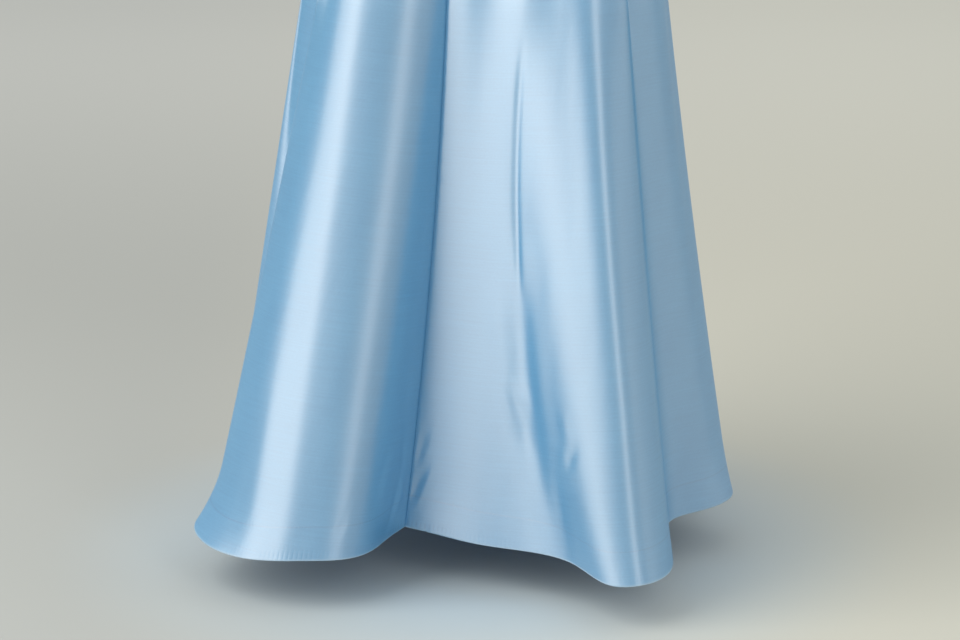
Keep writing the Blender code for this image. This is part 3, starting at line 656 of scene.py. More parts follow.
class Finish:
    """A material under way: one method adds nodes, another adds sums."""

    def __init__(self, name, colour, roughness, metallic=0.0):
        self.material = bpy.data.materials.new(name)
        self.material.use_nodes = True
        self.tree = self.material.node_tree
        self.shader = self.tree.nodes["Principled BSDF"]
        self.fixed("Base Color", (*colour, 1.0))
        self.fixed("Roughness", roughness)
        self.fixed("Metallic", metallic)
        self.material.diffuse_color = (*colour, 1.0)

    def fixed(self, socket, value):
        self.shader.inputs[socket].default_value = value

    def feed(self, socket, value):
        self.tree.links.new(value.socket if isinstance(value, Number) else value, self.shader.inputs[socket])

    def node(self, kind, settings=None, sockets=None):
        """Any node: its settings first, then the values or links of its sockets."""
        made = self.tree.nodes.new(kind)
        for key, value in (settings or {}).items():
            setattr(made, key, value)
        for key, value in (sockets or {}).items():
            if isinstance(value, Number):
                value = value.socket
            if isinstance(value, bpy.types.NodeSocket):
                self.tree.links.new(value, made.inputs[key])
            else:
                made.inputs[key].default_value = value
        return made

    def maths(self, operation, *values):
        made = self.node("ShaderNodeMath", {"operation": operation}, dict(enumerate(values)))
        return Number(self, made.outputs[0])

    def attribute(self, name):
        return Number(self, self.node("ShaderNodeAttribute", {"attribute_name": name}).outputs["Fac"])

    def cloth_place(self):
        """Metres across and down the cloth, as two numbers and as one vector."""
        place = self.node("ShaderNodeUVMap", {"uv_map": "cloth"}).outputs["UV"]
        parts = self.node("ShaderNodeSeparateXYZ", None, {0: place})
        return Number(self, parts.outputs[0]), Number(self, parts.outputs[1]), place

    def object_place(self):
        return self.node("ShaderNodeTexCoord").outputs["Object"]

    def noise(self, place, scale, detail=2.0, roughness=0.5):
        """Noise from -1 to 1, with its own scale along each axis."""
        scaled = self.node("ShaderNodeVectorMath", {"operation": "MULTIPLY"}, {0: place, 1: scale})
        noise = self.node(
            "ShaderNodeTexNoise",
            {"noise_dimensions": "3D"},
            {"Vector": scaled.outputs[0], "Scale": 1.0, "Detail": detail, "Roughness": roughness},
        )
        return Number(self, noise.outputs["Fac"]) * 2.0 - 1.0

    def ease(self, value, low, high, start=0.0, end=1.0):
        """Eases from start to end as the value goes from low to high."""
        made = self.node(
            "ShaderNodeMapRange",
            {"interpolation_type": "SMOOTHSTEP"},
            {"Value": value, "From Min": low, "From Max": high, "To Min": start, "To Max": end},
        )
        return Number(self, made.outputs["Result"])

    def bell(self, value, half_width):
        """1 where the value is 0, falling off on both sides."""
        scaled = value / half_width
        return self.maths("EXPONENT", -(scaled * scaled))

    def mix(self, amount, first, second):
        made = self.node("ShaderNodeMix", {"data_type": "RGBA"}, {0: amount, 6: first, 7: second})
        return made.outputs[2]

    def relief(self, height):
        """Bump from a height in metres."""
        bump = self.node("ShaderNodeBump", None, {"Height": height, "Distance": 1.0, "Strength": 1.0})
        self.feed("Normal", bump.outputs["Normal"])


def satin_relief(finish, sizes):
    """Weft streaks, soft unevenness, the hem's fold and stitches, and puckers beside the seams, in metres."""
    _, _, place = finish.cloth_place()
    hem, seam = finish.attribute("hem_distance"), finish.attribute("seam_distance")
    weft = finish.noise(place, WEFT, 3.0, 0.6) * WEFT_HEIGHT
    slub = finish.noise(place, SLUBS, 2.0) * SLUB_HEIGHT
    uneven = finish.noise(place, SOFT_WAVES, 2.0) * sizes.unevenness
    crumple = finish.noise(place, CRUMPLES, 2.0) * CRUMPLE_HEIGHT
    phase = finish.maths("FRACT", finish.attribute("hem_run") / sizes.stitch_pitch) - 0.5
    stretch = finish.ease(finish.noise(place, DIMPLE_STRETCHES), -0.15, 0.35)
    dimple = finish.bell(phase, 0.2) * finish.bell(hem - STITCH_ROW, 0.0055) * stretch
    fold = finish.ease(hem, sizes.hem_depth - 0.0012, sizes.hem_depth + 0.0012)
    pull = finish.bell(phase, 0.12) * finish.bell(hem - sizes.hem_depth, 0.0016)
    ripple = finish.noise(place, SEAM_RIPPLES, 1.0) * finish.bell(seam, 0.010)
    return (
        weft
        + slub
        + uneven
        + crumple
        - dimple * sizes.stitch_depth
        - fold * HEM_STEP
        - pull * STITCH_PULL
        + ripple * sizes.seam_pucker
    )


def satin(colours, sizes):
    """The right side of the satin."""
    finish = Finish("lustrous satin", colours.satin, 0.33)
    _, _, place = finish.cloth_place()
    hem, seam = finish.attribute("hem_distance"), finish.attribute("seam_distance")
    pitch = finish.attribute("hem_run") / sizes.stitch_pitch
    streak = finish.noise(place, STREAKS, 3.0, 0.6)
    grain = finish.noise(place, GRAIN, 2.0)
    cloud = finish.noise(place, CLOUDS, 3.0)
    shade = streak * 0.75 + grain * 0.45 + cloud * 0.35 + 0.5
    cloth = finish.mix(shade, (*colours.satin_deep, 1.0), (*colours.satin, 1.0))
    stitches = finish.bell(finish.maths("FRACT", pitch) - 0.5, 0.13)
    beside_seam = finish.ease(seam, 0.02, 0.07, 1.0, 0.0)
    stretches = finish.ease(finish.noise(place, STITCH_STRETCHES), 0.1, 0.4)
    here_and_there = finish.maths("MAXIMUM", beside_seam, stretches)
    dashes = stitches * finish.bell(hem - STITCH_ROW, 0.0035) * here_and_there
    # Painted shade: a faint dark line along the top of the turned-up hem, where its step would shade the
    # cloth.
    fold_line_shade = finish.bell(hem - sizes.hem_depth, 0.0009) * 0.35
    lines = finish.maths("MINIMUM", dashes * 0.5 + fold_line_shade, 1.0)
    cloth = finish.mix(lines, cloth, (*colours.seam_line, 1.0))
    # Painted highlight: the hem's folded edge is painted lighter, as if it caught the light.
    cloth = finish.mix(finish.bell(hem, 0.0016) * 0.6, cloth, (*colours.hem_edge_highlight, 1.0))
    finish.feed("Base Color", cloth)
    finish.feed("Roughness", streak * 0.05 + grain * 0.03 + sizes.gloss_spread)
    for socket, value in SATIN_LUSTRE.items():
        finish.fixed(socket, value)
    finish.relief(satin_relief(finish, sizes))
    return finish.material


def satin_reverse(colours):
    """The dull wrong side of the satin, seen inside the hem and the bodice."""
    finish = Finish("dull satin back", colours.reverse, 0.72)
    _, _, place = finish.cloth_place()
    thread = finish.noise(place, (700.0, 700.0, 1.0), 2.0)
    colour = finish.mix(thread * 0.5 + 0.5, (*colours.reverse, 1.0), (*colours.satin_deep, 1.0))
    finish.feed("Base Color", colour)
    finish.feed("Roughness", thread * 0.05 + 0.72)
    finish.relief(thread * 0.00002)
    return finish.material


def tape_finish(colours):
    """Woven zip tape: fine ribs across."""
    finish = Finish("woven zip tape", colours.tape, 0.78)
    place = finish.object_place()
    height = Number(finish, finish.node("ShaderNodeSeparateXYZ", None, {0: place}).outputs[2])
    rib = finish.maths("SINE", height * (2 * math.pi / RIB_PITCH))
    fuzz = finish.noise(place, (900.0, 900.0, 900.0), 2.0)
    colour = finish.mix(rib * 0.25 + fuzz * 0.2 + 0.5, (*colours.tape, 1.0), (*colours.satin, 1.0))
    finish.feed("Base Color", colour)
    finish.feed("Roughness", fuzz * 0.06 + 0.78)
    finish.relief(rib * 0.00004 + fuzz * 0.00003)
    return finish.material


def enamel_finish(colours):
    """Enamelled metal of the slider and its tab, worn a little in scattered patches."""
    finish = Finish("enamelled metal", colours.enamel, 0.35, 0.25)
    place = finish.object_place()
    grain = finish.noise(place, (1400.0, 1400.0, 1400.0), 3.0)
    wear = finish.ease(finish.noise(place, (420.0, 420.0, 420.0), 3.0), 0.35, 0.7)
    colour = finish.mix(wear * 0.4, (*colours.enamel, 1.0), (*colours.bare_metal, 1.0))
    finish.feed("Base Color", colour)
    finish.feed("Roughness", grain * 0.05 + wear * 0.1 + 0.32)
    finish.feed("Metallic", wear * 0.5 + 0.2)
    finish.relief(grain * 0.000006)
    return finish.material


def coil_finish(colours):
    """Moulded nylon coil of the zip."""
    finish = Finish("zip coil", colours.tape, 0.4)
    grain = finish.noise(finish.object_place(), (2500.0, 2500.0, 2500.0), 2.0)
    colour = finish.mix(grain * 0.3 + 0.5, (*colours.tape, 1.0), (*colours.enamel, 1.0))
    finish.feed("Base Color", colour)
    finish.feed("Roughness", grain * 0.05 + 0.4)
    finish.relief(grain * 0.000008)
    return finish.material


def floor_finish(stage):
    """Matt studio floor with painted light and shade: painted shade makes it greyer on the left, painted
    light paler far behind, and a painted shadow bluer beside the dress.
    """
    finish = Finish("studio floor", stage.floor_near, 0.9)
    place = finish.object_place()
    parts = finish.node("ShaderNodeSeparateXYZ", None, {0: place})
    x, y = Number(finish, parts.outputs[0]), Number(finish, parts.outputs[1])
    turn = math.radians(CAMERA_TURN)
    behind = y * math.cos(turn) - x * math.sin(turn)
    left = x * -math.cos(turn) - y * math.sin(turn)
    # Painted shade: the floor is painted darker and greyer on the left; painted light makes it paler far
    # behind.
    near = finish.mix(finish.ease(left, -0.2, 0.5), (*stage.floor_near, 1.0), (*stage.floor_left_painted_shade, 1.0))
    far = finish.mix(finish.ease(left, -0.9, 0.9), (*stage.floor_far_painted_light, 1.0), (*stage.floor_far_left_painted_light_and_shade, 1.0))
    lit_floor = finish.mix(finish.ease(behind, 0.9, 3.4), near, far)
    # Painted shadow: a bluish tint painted on the floor round the hem, standing in for the shade and blue
    # bounce light under the dress.
    spread = finish.maths("SQRT", x * x + y * y)
    beside = finish.ease(spread, 0.2, 0.55, 0.7, 0.0)
    finish.feed("Base Color", finish.mix(beside, lit_floor, (*stage.floor_painted_shadow, 1.0)))
    finish.fixed("Specular IOR Level", 0.2)
    return finish.material


class ClothSizes(bpy.types.PropertyGroup):
    """Sizes of the fine cloth."""

    skirt_thickness: FloatProperty(
        name="Skirt cloth", description="Thickness of the skirt's satin", default=0.0009, unit="LENGTH"
    )
    hem_thickness: FloatProperty(
        name="Hem", description="Thickness over the turned-up hem", default=0.0020, unit="LENGTH"
    )
    hem_depth: FloatProperty(
        name="Hem depth", description="Height of the turned-up hem", default=0.040, unit="LENGTH"
    )
    bodice_thickness: FloatProperty(
        name="Bodice cloth", description="Thickness of the bodice", default=0.0014, unit="LENGTH"
    )
    seam_depth: FloatProperty(
        name="Seam depth", description="How far cloth turns in at a seam", default=0.0010, unit="LENGTH"
    )
    seam_width: FloatProperty(
        name="Seam width",
        description="Distance from the seam over which it turns in",
        default=0.0013, unit="LENGTH",
    )
    stitch_pitch: FloatProperty(
        name="Stitch pitch", description="Distance between blind stitches", default=0.0055, unit="LENGTH"
    )
    stitch_depth: FloatProperty(
        name="Stitch depth",
        description="Depth of the dimple at a blind stitch",
        default=0.00016, precision=5, unit="LENGTH",
    )
    seam_pucker: FloatProperty(
        name="Seam pucker",
        description="Height of the ripples beside seams",
        default=0.00030, precision=5, unit="LENGTH",
    )
    unevenness: FloatProperty(
        name="Unevenness",
        description="Height of the satin's soft unevenness",
        default=0.00016, precision=5, unit="LENGTH",
    )
    gloss_spread: FloatProperty(
        name="Gloss spread", description="Roughness of the satin's lustre", default=0.50, subtype="FACTOR"
    )


class ClothColours(bpy.types.PropertyGroup):
    """Colours of the dress."""

    satin: FloatVectorProperty(
        name="Satin", description="Right side of the satin", default=(0.062, 0.297, 0.545), subtype="COLOR"
    )
    satin_deep: FloatVectorProperty(
        name="Deep satin", description="Its darker clouds", default=(0.022, 0.214, 0.445), subtype="COLOR"
    )
    # Colour of the hem stitches, also used for the painted shade along the top of the turned-up hem.
    seam_line: FloatVectorProperty(
        name="Stitch line", description="Hem stitches", default=(0.015, 0.12, 0.30), subtype="COLOR"
    )
    # Painted highlight for the hem's folded edge.
    hem_edge_highlight: FloatVectorProperty(
        name="Hem edge", description="Folded edge of the hem", default=(0.42, 0.62, 0.78), subtype="COLOR"
    )
    reverse: FloatVectorProperty(
        name="Reverse", description="Wrong side of the satin", default=(0.12, 0.36, 0.60), subtype="COLOR"
    )
    tape: FloatVectorProperty(
        name="Zip tape", description="Woven tape and coil", default=(0.20, 0.40, 0.63), subtype="COLOR"
    )
    enamel: FloatVectorProperty(
        name="Enamel",
        description="Enamel of the slider and its tab",
        default=(0.24, 0.44, 0.68), subtype="COLOR",
    )
    bare_metal: FloatVectorProperty(
        name="Bare metal",
        description="Metal where the enamel has worn",
        default=(0.62, 0.64, 0.66), subtype="COLOR",
    )


class StageSettings(bpy.types.PropertyGroup):
    """Studio floor and lights."""

    floor_near: FloatVectorProperty(
        name="Near floor",
        description="Colour of the floor close by, on the right",
        default=(0.575, 0.58, 0.515), subtype="COLOR",
    )
    # Painted light: the floor far behind is painted paler.
    floor_far_painted_light: FloatVectorProperty(
        name="Far floor",
        description="Colour of the floor far behind, on the right",
        default=(0.71, 0.72, 0.655), subtype="COLOR",
    )
    # Painted shade: the floor on the left is painted darker than on the right.
    floor_left_painted_shade: FloatVectorProperty(
        name="Left floor",
        description="Colour of the floor close by, on the left",
        default=(0.43, 0.45, 0.435), subtype="COLOR",
    )
    floor_far_left_painted_light_and_shade: FloatVectorProperty(
        name="Far left floor",
        description="Colour of the floor far behind, on the left",
        default=(0.61, 0.63, 0.607), subtype="COLOR",
    )
    # Painted shadow: bluish tint of the floor under and round the hem.
    floor_painted_shadow: FloatVectorProperty(
        name="Floor beside the dress",
        description="Colour of the floor under the hem",
        default=(0.46, 0.585, 0.68), subtype="COLOR",
    )
    key_power: FloatProperty(
        name="Key light", description="Power of the large light on the left", default=136.0, unit="POWER"
    )
    second_power: FloatProperty(
        name="Second light",
        description="Power of the narrow light right of the camera",
        default=26.0, unit="POWER",
    )
    side_power: FloatProperty(
        name="Side fill", description="Power of the wide light on the right", default=9.0, unit="POWER"
    )
    sky: FloatProperty(
        name="Studio glow", description="Strength of the even light from all round", default=0.66
    )


def settings():
    scene = bpy.context.scene
    return scene.dress_sizes, scene.dress_colours, scene.dress_stage


def material_named(name, make):
    """A finish that several pieces share, made when it is first asked for."""
    return bpy.data.materials.get(name) or make()


def cloth_finishes():
    sizes, colours, _ = settings()
    return [
        material_named("lustrous satin", lambda: satin(colours, sizes)),
        material_named("dull satin back", lambda: satin_reverse(colours)),
    ]


class DRESS_OT_skirt(bpy.types.Operator):
    """Make the three panels of the skirt with their creases, seams and turned-up hem"""

    bl_idname = "dress.skirt"
    bl_label = "Skirt"

    def execute(self, context):
        sizes = context.scene.dress_sizes
        for panel in SKIRT_PANELS:
            self.panel(panel, sizes)
        return {"FINISHED"}

    def panel(self, panel, sizes):
        start, end = knot_of(panel.start), knot_of(panel.end)
        hem_line = skirt_point(np.linspace(start, end, 200), 3.0)
        hem_length = float(along(hem_line[None], 1)[0, -1])
        at = start + (end - start) * close_to_edges(hem_length, EDGE_STEPS, panel.columns)
        falls = self.falls(sizes)
        points = np.stack([skirt_point(at, fall) for fall in falls])
        normals = grid_normals(points)
        across, down = along(points, 1), along(points, 0)
        heights = points[..., 2] + SHOULDER_HEIGHT
        from_left, from_right = across, across[:, -1:] - across
        hem_distance = down[-1:] - down
        ways_out = [normals[:, 0], normals[:, -1]]
        for side, distance, at_back in ((0, from_left, start == 0.0), (-1, from_right, end == 1.0)):
            if at_back:
                ways_out[side] = back_seam_outward(falls)
                near = np.exp(-((distance / SEAM_REACH) ** 2))[..., None]
                normals = unit(normals * (1 - near) + ways_out[side][:, None] * near)
        relief = seam_roll(from_left, sizes) + seam_roll(from_right, sizes) + seam_roll(down, sizes)
        calm = smooth_step(np.minimum(from_left, from_right) / CALM_REACH)
        for crease in SKIRT_CREASES:
            relief = relief + crease_relief(crease, at, across, heights) * calm
        for dent in SKIRT_DENTS:
            relief = relief + dent_relief(dent, at, across, heights) * calm
        rounding = np.exp(-((hem_distance / HEM_ROUNDING) ** 2))
        relief = relief - sizes.hem_thickness * HEM_ROUNDING_SHARE * rounding
        points = points + normals * relief[..., None]
        seam_distance = np.minimum(np.minimum(from_left, from_right), down)
        uv = np.stack([across + float(start) * SKIRT_WEAVE_RUN, down], axis=-1)
        hem_run = np.broadcast_to(across[-1], across.shape)
        grids = {"points": points, "uv": uv, "hem": hem_distance, "seam": seam_distance, "run": hem_run}
        lips = {"left": -ways_out[0], "right": -ways_out[-1]}
        for edge, inward in lips.items():
            grids = turned_in(grids, edge, inward)
        inward = -unit(np.pad(normals[0], ((len(LIP_DEPTHS),) * 2, (0, 0)), "edge"))
        grids = turned_in(grids, "top", inward)
        piece = cloth_piece(
            f"{panel.node}_cloth",
            grids["points"],
            cloth_finishes(),
            sizes.skirt_thickness,
            grids["uv"],
            {"hem_distance": grids["hem"], "seam_distance": grids["seam"], "hem_run": grids["run"]},
            grids["hem"].mean(axis=1) < sizes.hem_depth,
            sizes.hem_thickness,
        )
        declare_sheet(points)
        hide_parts(panel.node)
        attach(piece, BODY)

    def falls(self, sizes):
        """Rows from waist to hem, closest at the waist seam, at the hem's top and at the hem."""
        shares = close_to_edges(1.0, EDGE_STEPS, SKIRT_ROWS)
        upper, lower = WAIST_HEIGHT - THIGH_HEIGHT, THIGH_HEIGHT - HEM_LIFT
        fallen = shares * (upper + lower)
        hem_top = upper + lower - sizes.hem_depth
        fallen = np.union1d(fallen, [hem_top - 0.001, hem_top + 0.001])
        hip = WAIST_HEIGHT - HIP_HEIGHT
        return np.interp(fallen, [0.0, hip, upper, upper + lower], [0.0, 1.0, 2.0, 3.0])


class DRESS_OT_bodice(bpy.types.Operator):
    """Make the bodice's front and back panels with darts and seams"""

    bl_idname = "dress.bodice"
    bl_label = "Bodice"

    def execute(self, context):
        sizes = context.scene.dress_sizes
        for panel in BODICE_PANELS:
            self.panel(panel, sizes)
        return {"FINISHED"}

    def panel(self, panel, sizes):
        width = math.radians(panel.end - panel.start) * BODICE_RADIUS
        turn = panel.start + (panel.end - panel.start) * close_to_edges(width, EDGE_STEPS, panel.columns)
        shares = close_to_edges(BODICE_HEIGHT, EDGE_STEPS, BODICE_ROWS)
        points = np.stack([bodice_point(turn, share) for share in shares])
        normals = grid_normals(points)
        across, down = along(points, 1), along(points, 0)
        from_left, from_right, from_waist = across, across[:, -1:] - across, down[-1:] - down
        relief = seam_roll(from_left, sizes) + seam_roll(from_right, sizes) + seam_roll(from_waist, sizes)
        relief = relief + seam_roll(down, sizes) * TOP_EDGE_SHARE
        heights = points[..., 2] + SHOULDER_HEIGHT
        for dart in DARTS:
            relief = relief + self.dart_relief(dart, np.broadcast_to(turn, heights.shape), heights, sizes)
        points = points + normals * relief[..., None]
        uv = np.stack([across + panel.start * BODICE_WEAVE_RUN, down + BODICE_WEAVE_DOWN], axis=-1)
        seam_distance = np.minimum(np.minimum(from_left, from_right), from_waist)
        grids = {"points": points, "uv": uv, "seam": seam_distance}
        lips = {"left": -normals[:, 0], "right": -normals[:, -1]}
        for edge, inward in lips.items():
            grids = turned_in(grids, edge, inward)
        inward = -unit(np.pad(normals[-1], ((len(LIP_DEPTHS),) * 2, (0, 0)), "edge"))
        grids = turned_in(grids, "bottom", inward)
        piece = cloth_piece(
            f"{panel.node}_cloth",
            grids["points"],
            cloth_finishes(),
            sizes.bodice_thickness,
            grids["uv"],
            {"hem_distance": np.full_like(grids["seam"], 1.0), "seam_distance": grids["seam"]},
        )
        declare_sheet(points)
        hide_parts(panel.node)
        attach(piece, BODY)

    def dart_relief(self, dart, turn, heights, sizes):
        """A groove along each dart, the same left and right, fading out towards its tip."""
        off_front = np.abs(turn - 180.0)
        lie = np.stack([np.radians(off_front) * DART_RADIUS, heights], axis=-1)
        foot = np.array([math.radians(dart.foot_turn) * DART_RADIUS, dart.foot_height])
        tip = np.array([math.radians(dart.tip_turn) * DART_RADIUS, dart.tip_height])
        run = tip - foot
        share = np.clip(((lie - foot) @ run) / (run @ run), 0.0, 1.0)
        distance = np.linalg.norm(lie - foot - share[..., None] * run, axis=-1)
        depth = sizes.seam_depth * DART_DEPTH_SHARE * (1 - share**3)
        return -depth * np.exp(-((distance / (sizes.seam_width * DART_WIDTH_SHARE)) ** 2))


class DRESS_OT_straps(bpy.types.Operator):
    """Make the two shoulder straps as folded satin ribbons"""

    bl_idname = "dress.straps"
    bl_label = "Shoulder straps"

    def execute(self, context):
        self.strap("strap_right", 1)
        self.strap("strap_left", -1)
        return {"FINISHED"}

    def stops(self, side):
        """Places and width directions along a strap, from inside the front to inside the back."""
        behind = BODICE_CLOTH + SEAM_GAP + STRAP_CLOTH / 2
        keys = []
        for turn, facing in ((STRAP_FRONT_TURN, 1), (STRAP_BACK_TURN, -1)):
            turn = turn if side > 0 else 360 - turn
            edge = float(top_edge_height(turn))
            ends = []
            for height in (edge - STRAP_TUCK, edge - STRAP_LIP):
                place, out, aside = surface_frame(turn, height)
                ends.append((place - out * behind, aside * facing))
            keys.append(ends if facing > 0 else ends[::-1])
        slope = math.radians(SHOULDER_SLOPE)
        top = Vector((side * SHOULDER_HALF_WIDTH, SHOULDER_FORWARD, STRAP_CLOTH / 2))
        lean = Vector((-math.cos(slope), 0.0, side * math.sin(slope)))
        front, back = keys
        before = (top + Vector((0, ARCH_HALF_LENGTH, -ARCH_DROP)), lean)
        after = (top + Vector((0, -ARCH_HALF_LENGTH, -ARCH_DROP)), lean)
        return [*front, before, (top, lean), after, *back]

    def strap(self, node, side):
        spots, sides = (np.array(column) for column in zip(*self.stops(side)))
        lengths = np.linalg.norm(np.diff(spots, axis=0), axis=1)
        knots = np.concatenate([[0.0], np.cumsum(lengths) / lengths.sum()])
        shares = np.linspace(0, 1, STRAP_ROWS)
        path = np.stack([smooth_through(knots, spots[:, i], shares) for i in range(3)], axis=-1)
        widths = np.stack([np.interp(shares, knots, sides[:, i]) for i in range(3)], axis=-1)
        runs = np.gradient(path, axis=0)
        runs /= np.linalg.norm(runs, axis=1, keepdims=True)
        widths -= runs * (widths * runs).sum(axis=1, keepdims=True)
        widths /= np.linalg.norm(widths, axis=1, keepdims=True)
        faces = np.cross(runs, widths)
        steps = np.linspace(-0.5, 0.5, STRAP_COLUMNS)
        crown = STRAP_CLOTH * 0.5 - STRAP_CROWN * (2 * steps) ** 4
        points = (
            path[:, None]
            + widths[:, None] * (steps * STRAP_WIDTH)[None, :, None]
            + faces[:, None] * crown[None, :, None]
        )
        run_length = np.concatenate([[0.0], np.cumsum(np.linalg.norm(np.diff(path, axis=0), axis=1))])
        across = steps * STRAP_WIDTH + STRAP_WEAVE_START
        uv = np.stack(np.broadcast_arrays(across, run_length[:, None]), axis=-1)
        edge = np.broadcast_to(STRAP_WIDTH * (0.5 - np.abs(steps)), points.shape[:2])
        piece = cloth_piece(
            f"{node}_ribbon",
            points,
            cloth_finishes()[:1],
            STRAP_CLOTH * 0.95,
            uv,
            {"hem_distance": np.full(points.shape[:2], 1.0), "seam_distance": edge},
        )
        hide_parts(node)
        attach(piece, BODY)


def surface_frame(turn, height):
    """A point on the bodice's outer face, with its outward and sideways unit vectors."""
    turn_step, height_step = 0.5, 0.002
    here = on_plan(turn, torso_reach(turn, height), level(height))
    aside = on_plan(turn + turn_step, torso_reach(turn + turn_step, height), level(height)) - here
    upper = on_plan(turn, torso_reach(turn, height + height_step), level(height + height_step)) - here
    aside, upper = Vector(aside).normalized(), Vector(upper).normalized()
    return Vector(here), aside.cross(upper).normalized(), aside


class DRESS_OT_zip(bpy.types.Operator):
    """Finish the zip: tapes, slider and tab, and a coil between the tapes"""

    bl_idname = "dress.zip"
    bl_label = "Zip"

    def execute(self, context):
        colours = context.scene.dress_colours
        tape, enamel = tape_finish(colours), enamel_finish(colours)
        for node, finish in (
            ("zip_tape_left", tape),
            ("zip_tape_right", tape),
            ("zip_slider", enamel),
            ("zip_pull", enamel),
        ):
            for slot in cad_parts[node].material_slots:
                slot.material = finish
        nylon = coil_finish(colours)
        self.coil("zip_coil_right", 1, nylon)
        self.coil("zip_coil_left", -1, nylon)
        return {"FINISHED"}

    def seam_line(self, height):
        """The outer face at the centre back, on the bodice or below it on the skirt."""
        if height >= WAIST_HEIGHT:
            return on_plan(0.0, torso_reach(0.0, height), level(height))
        falls = np.linspace(0.0, 1.2, 25)
        run = np.stack([skirt_point(np.array([0.0]), fall)[0] for fall in falls])
        return np.array([np.interp(level(height), run[::-1, 2], run[::-1, i]) for i in range(3)])

    def coil(self, name, side, finish):
        """One row of the zip's moulded teeth, wound up the inner face of its tape."""
        top = float(top_edge_height(0.0)) - COIL_DROP
        heights = np.linspace(top, ZIP_END_HEIGHT + COIL_STOP, 40)
        line = np.stack([self.seam_line(height) for height in heights])
        turns = round((top - heights[-1]) / COIL_PITCH)
        share = np.linspace(0.0, 1.0, turns * COIL_STEPS + 1)
        wound = share * turns * 2 * math.pi + (0.0 if side > 0 else math.pi)
        inside = BODICE_CLOTH + TAPE_STAND_OFF + TAPE_CLOTH + COIL_DEPTH + COIL_WIRE
        stations = np.linspace(0, 1, len(line))
        middle = np.stack([np.interp(share, stations, line[:, i]) for i in range(3)], axis=-1)
        middle[:, 0] += side * COIL_HALF_WIDTH * COIL_SPREAD + COIL_HALF_WIDTH * np.cos(wound)
        middle[:, 1] += inside + COIL_DEPTH * np.sin(wound)
        runs = unit(np.gradient(middle, axis=0))
        first = unit(np.cross(runs, (0.0, 0.0, 1.0)))
        second = np.cross(runs, first)
        round_it = np.linspace(0, 2 * math.pi, COIL_SIDES + 1)[:, None, None]
        points = middle + COIL_WIRE * (first * np.cos(round_it) + second * np.sin(round_it))
        bm = bmesh.new()
        bmesh.ops.create_grid(bm, x_segments=len(share) - 1, y_segments=COIL_SIDES, size=0.5)
        flat = points.reshape(-1, 3)
        for vert, place in zip(sorted(bm.verts, key=lambda v: (round(v.co.y, 6), v.co.x)), flat):
            vert.co = place
        bmesh.ops.remove_doubles(bm, verts=bm.verts, dist=1e-6)
        bmesh.ops.recalc_face_normals(bm, faces=bm.faces)
        mesh = bpy.data.meshes.new(name)
        bm.to_mesh(mesh)
        bm.free()
        mesh.shade_smooth()
        mesh.materials.append(finish)
        piece = bpy.data.objects.new(name, mesh)
        bpy.context.scene.collection.objects.link(piece)
        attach(piece, BODY)


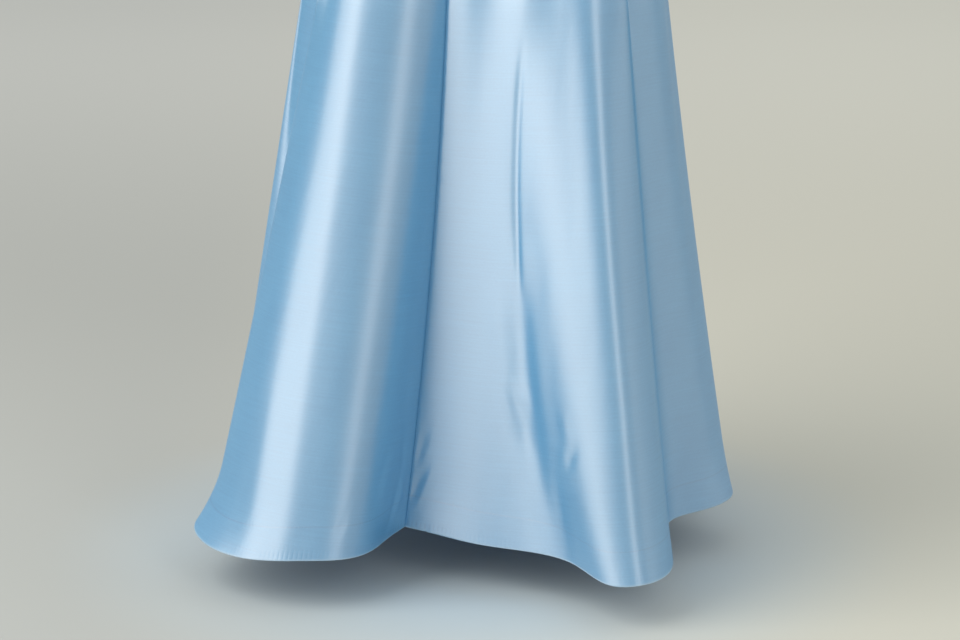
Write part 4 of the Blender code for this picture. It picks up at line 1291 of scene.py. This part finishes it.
class DRESS_OT_stage(bpy.types.Operator):
    """Set the floor, the studio lights and the camera"""

    bl_idname = "dress.stage"
    bl_label = "Studio"

    def execute(self, context):
        stage = context.scene.dress_stage
        self.floor(stage)
        for lamp in LAMPS:
            self.light(lamp, getattr(stage, lamp.power))
        self.world(stage)
        self.camera(context)
        return {"FINISHED"}

    def floor(self, stage):
        bm = bmesh.new()
        bmesh.ops.create_grid(bm, x_segments=FLOOR_SEGMENTS, y_segments=FLOOR_SEGMENTS, size=FLOOR_HALF_SIZE)
        bmesh.ops.translate(bm, vec=(0.0, 0.0, level(0.0)), verts=bm.verts)
        mesh = bpy.data.meshes.new("studio_floor")
        bm.to_mesh(mesh)
        bm.free()
        floor = bpy.data.objects.new("studio_floor", mesh)
        mesh.materials.append(floor_finish(stage))
        bpy.context.scene.collection.objects.link(floor)

    def light(self, lamp, power):
        """An area light on its place round the dress, aimed at the skirt."""
        angle = math.radians(CAMERA_TURN + lamp.turn)
        data = bpy.data.lights.new(lamp.name, "AREA")
        data.shape = "RECTANGLE"
        data.size, data.size_y = lamp.size
        data.energy = power
        data.color = lamp.colour
        light = bpy.data.objects.new(lamp.name, data)
        bpy.context.scene.collection.objects.link(light)
        right, near = math.sin(angle) * lamp.away, math.cos(angle) * lamp.away
        light.location = Vector((right, -near, level(lamp.height)))
        aim = Vector((0.0, 0.0, level(LAMPS_AIM))) - light.location
        light.rotation_euler = aim.to_track_quat("-Z", "Y").to_euler()

    def world(self, stage):
        bpy.context.scene.view_settings.view_transform = "Standard"
        world = bpy.data.worlds.new("studio")
        world.use_nodes = True
        background = world.node_tree.nodes["Background"]
        background.inputs["Color"].default_value = GLOW_COLOUR
        background.inputs["Strength"].default_value = stage.sky
        bpy.context.scene.world = world

    def camera(self, context):
        turn, rise = math.radians(CAMERA_TURN), math.radians(CAMERA_RISE)
        aim = Vector((0.0, 0.0, level(CAMERA_LOOKS_AT)))
        data = bpy.data.cameras.new("camera")
        data.lens = CAMERA_LENS
        data.sensor_width = CAMERA_SENSOR
        camera = bpy.data.objects.new("camera", data)
        context.scene.collection.objects.link(camera)
        back = Vector((math.sin(turn) * math.cos(rise), -math.cos(turn) * math.cos(rise), math.sin(rise)))
        camera.location = aim + back * CAMERA_AWAY
        camera.rotation_euler = (-back).to_track_quat("-Z", "Y").to_euler()
        context.scene.camera = camera


class DRESS_PT_panel(bpy.types.Panel):
    """Lists the pieces of the dress and their sizes"""

    bl_label = "Dress"
    bl_idname = "DRESS_PT_panel"
    bl_space_type = "VIEW_3D"
    bl_region_type = "UI"
    bl_category = "Dress"

    def draw(self, context):
        for group in (context.scene.dress_sizes, context.scene.dress_colours, context.scene.dress_stage):
            box = self.layout.box()
            for name in group.__annotations__:
                box.prop(group, name)
        for operator in OPERATORS:
            self.layout.operator(operator.bl_idname)


GROUPS = {"dress_sizes": ClothSizes, "dress_colours": ClothColours, "dress_stage": StageSettings}
OPERATORS = (DRESS_OT_stage, DRESS_OT_skirt, DRESS_OT_bodice, DRESS_OT_straps, DRESS_OT_zip)


def register():
    for group in GROUPS.values():
        bpy.utils.register_class(group)
    for name, group in GROUPS.items():
        setattr(bpy.types.Scene, name, PointerProperty(type=group))
    for operator in OPERATORS:
        bpy.utils.register_class(operator)
    bpy.utils.register_class(DRESS_PT_panel)


def unregister():
    bpy.utils.unregister_class(DRESS_PT_panel)
    for operator in reversed(OPERATORS):
        bpy.utils.unregister_class(operator)
    for name in GROUPS:
        delattr(bpy.types.Scene, name)
    for group in GROUPS.values():
        bpy.utils.unregister_class(group)


def main():
    register()
    bpy.ops.dress.stage()
    bpy.ops.dress.skirt()
    bpy.ops.dress.bodice()
    bpy.ops.dress.straps()
    bpy.ops.dress.zip()


if __name__ == "__main__":
    main()
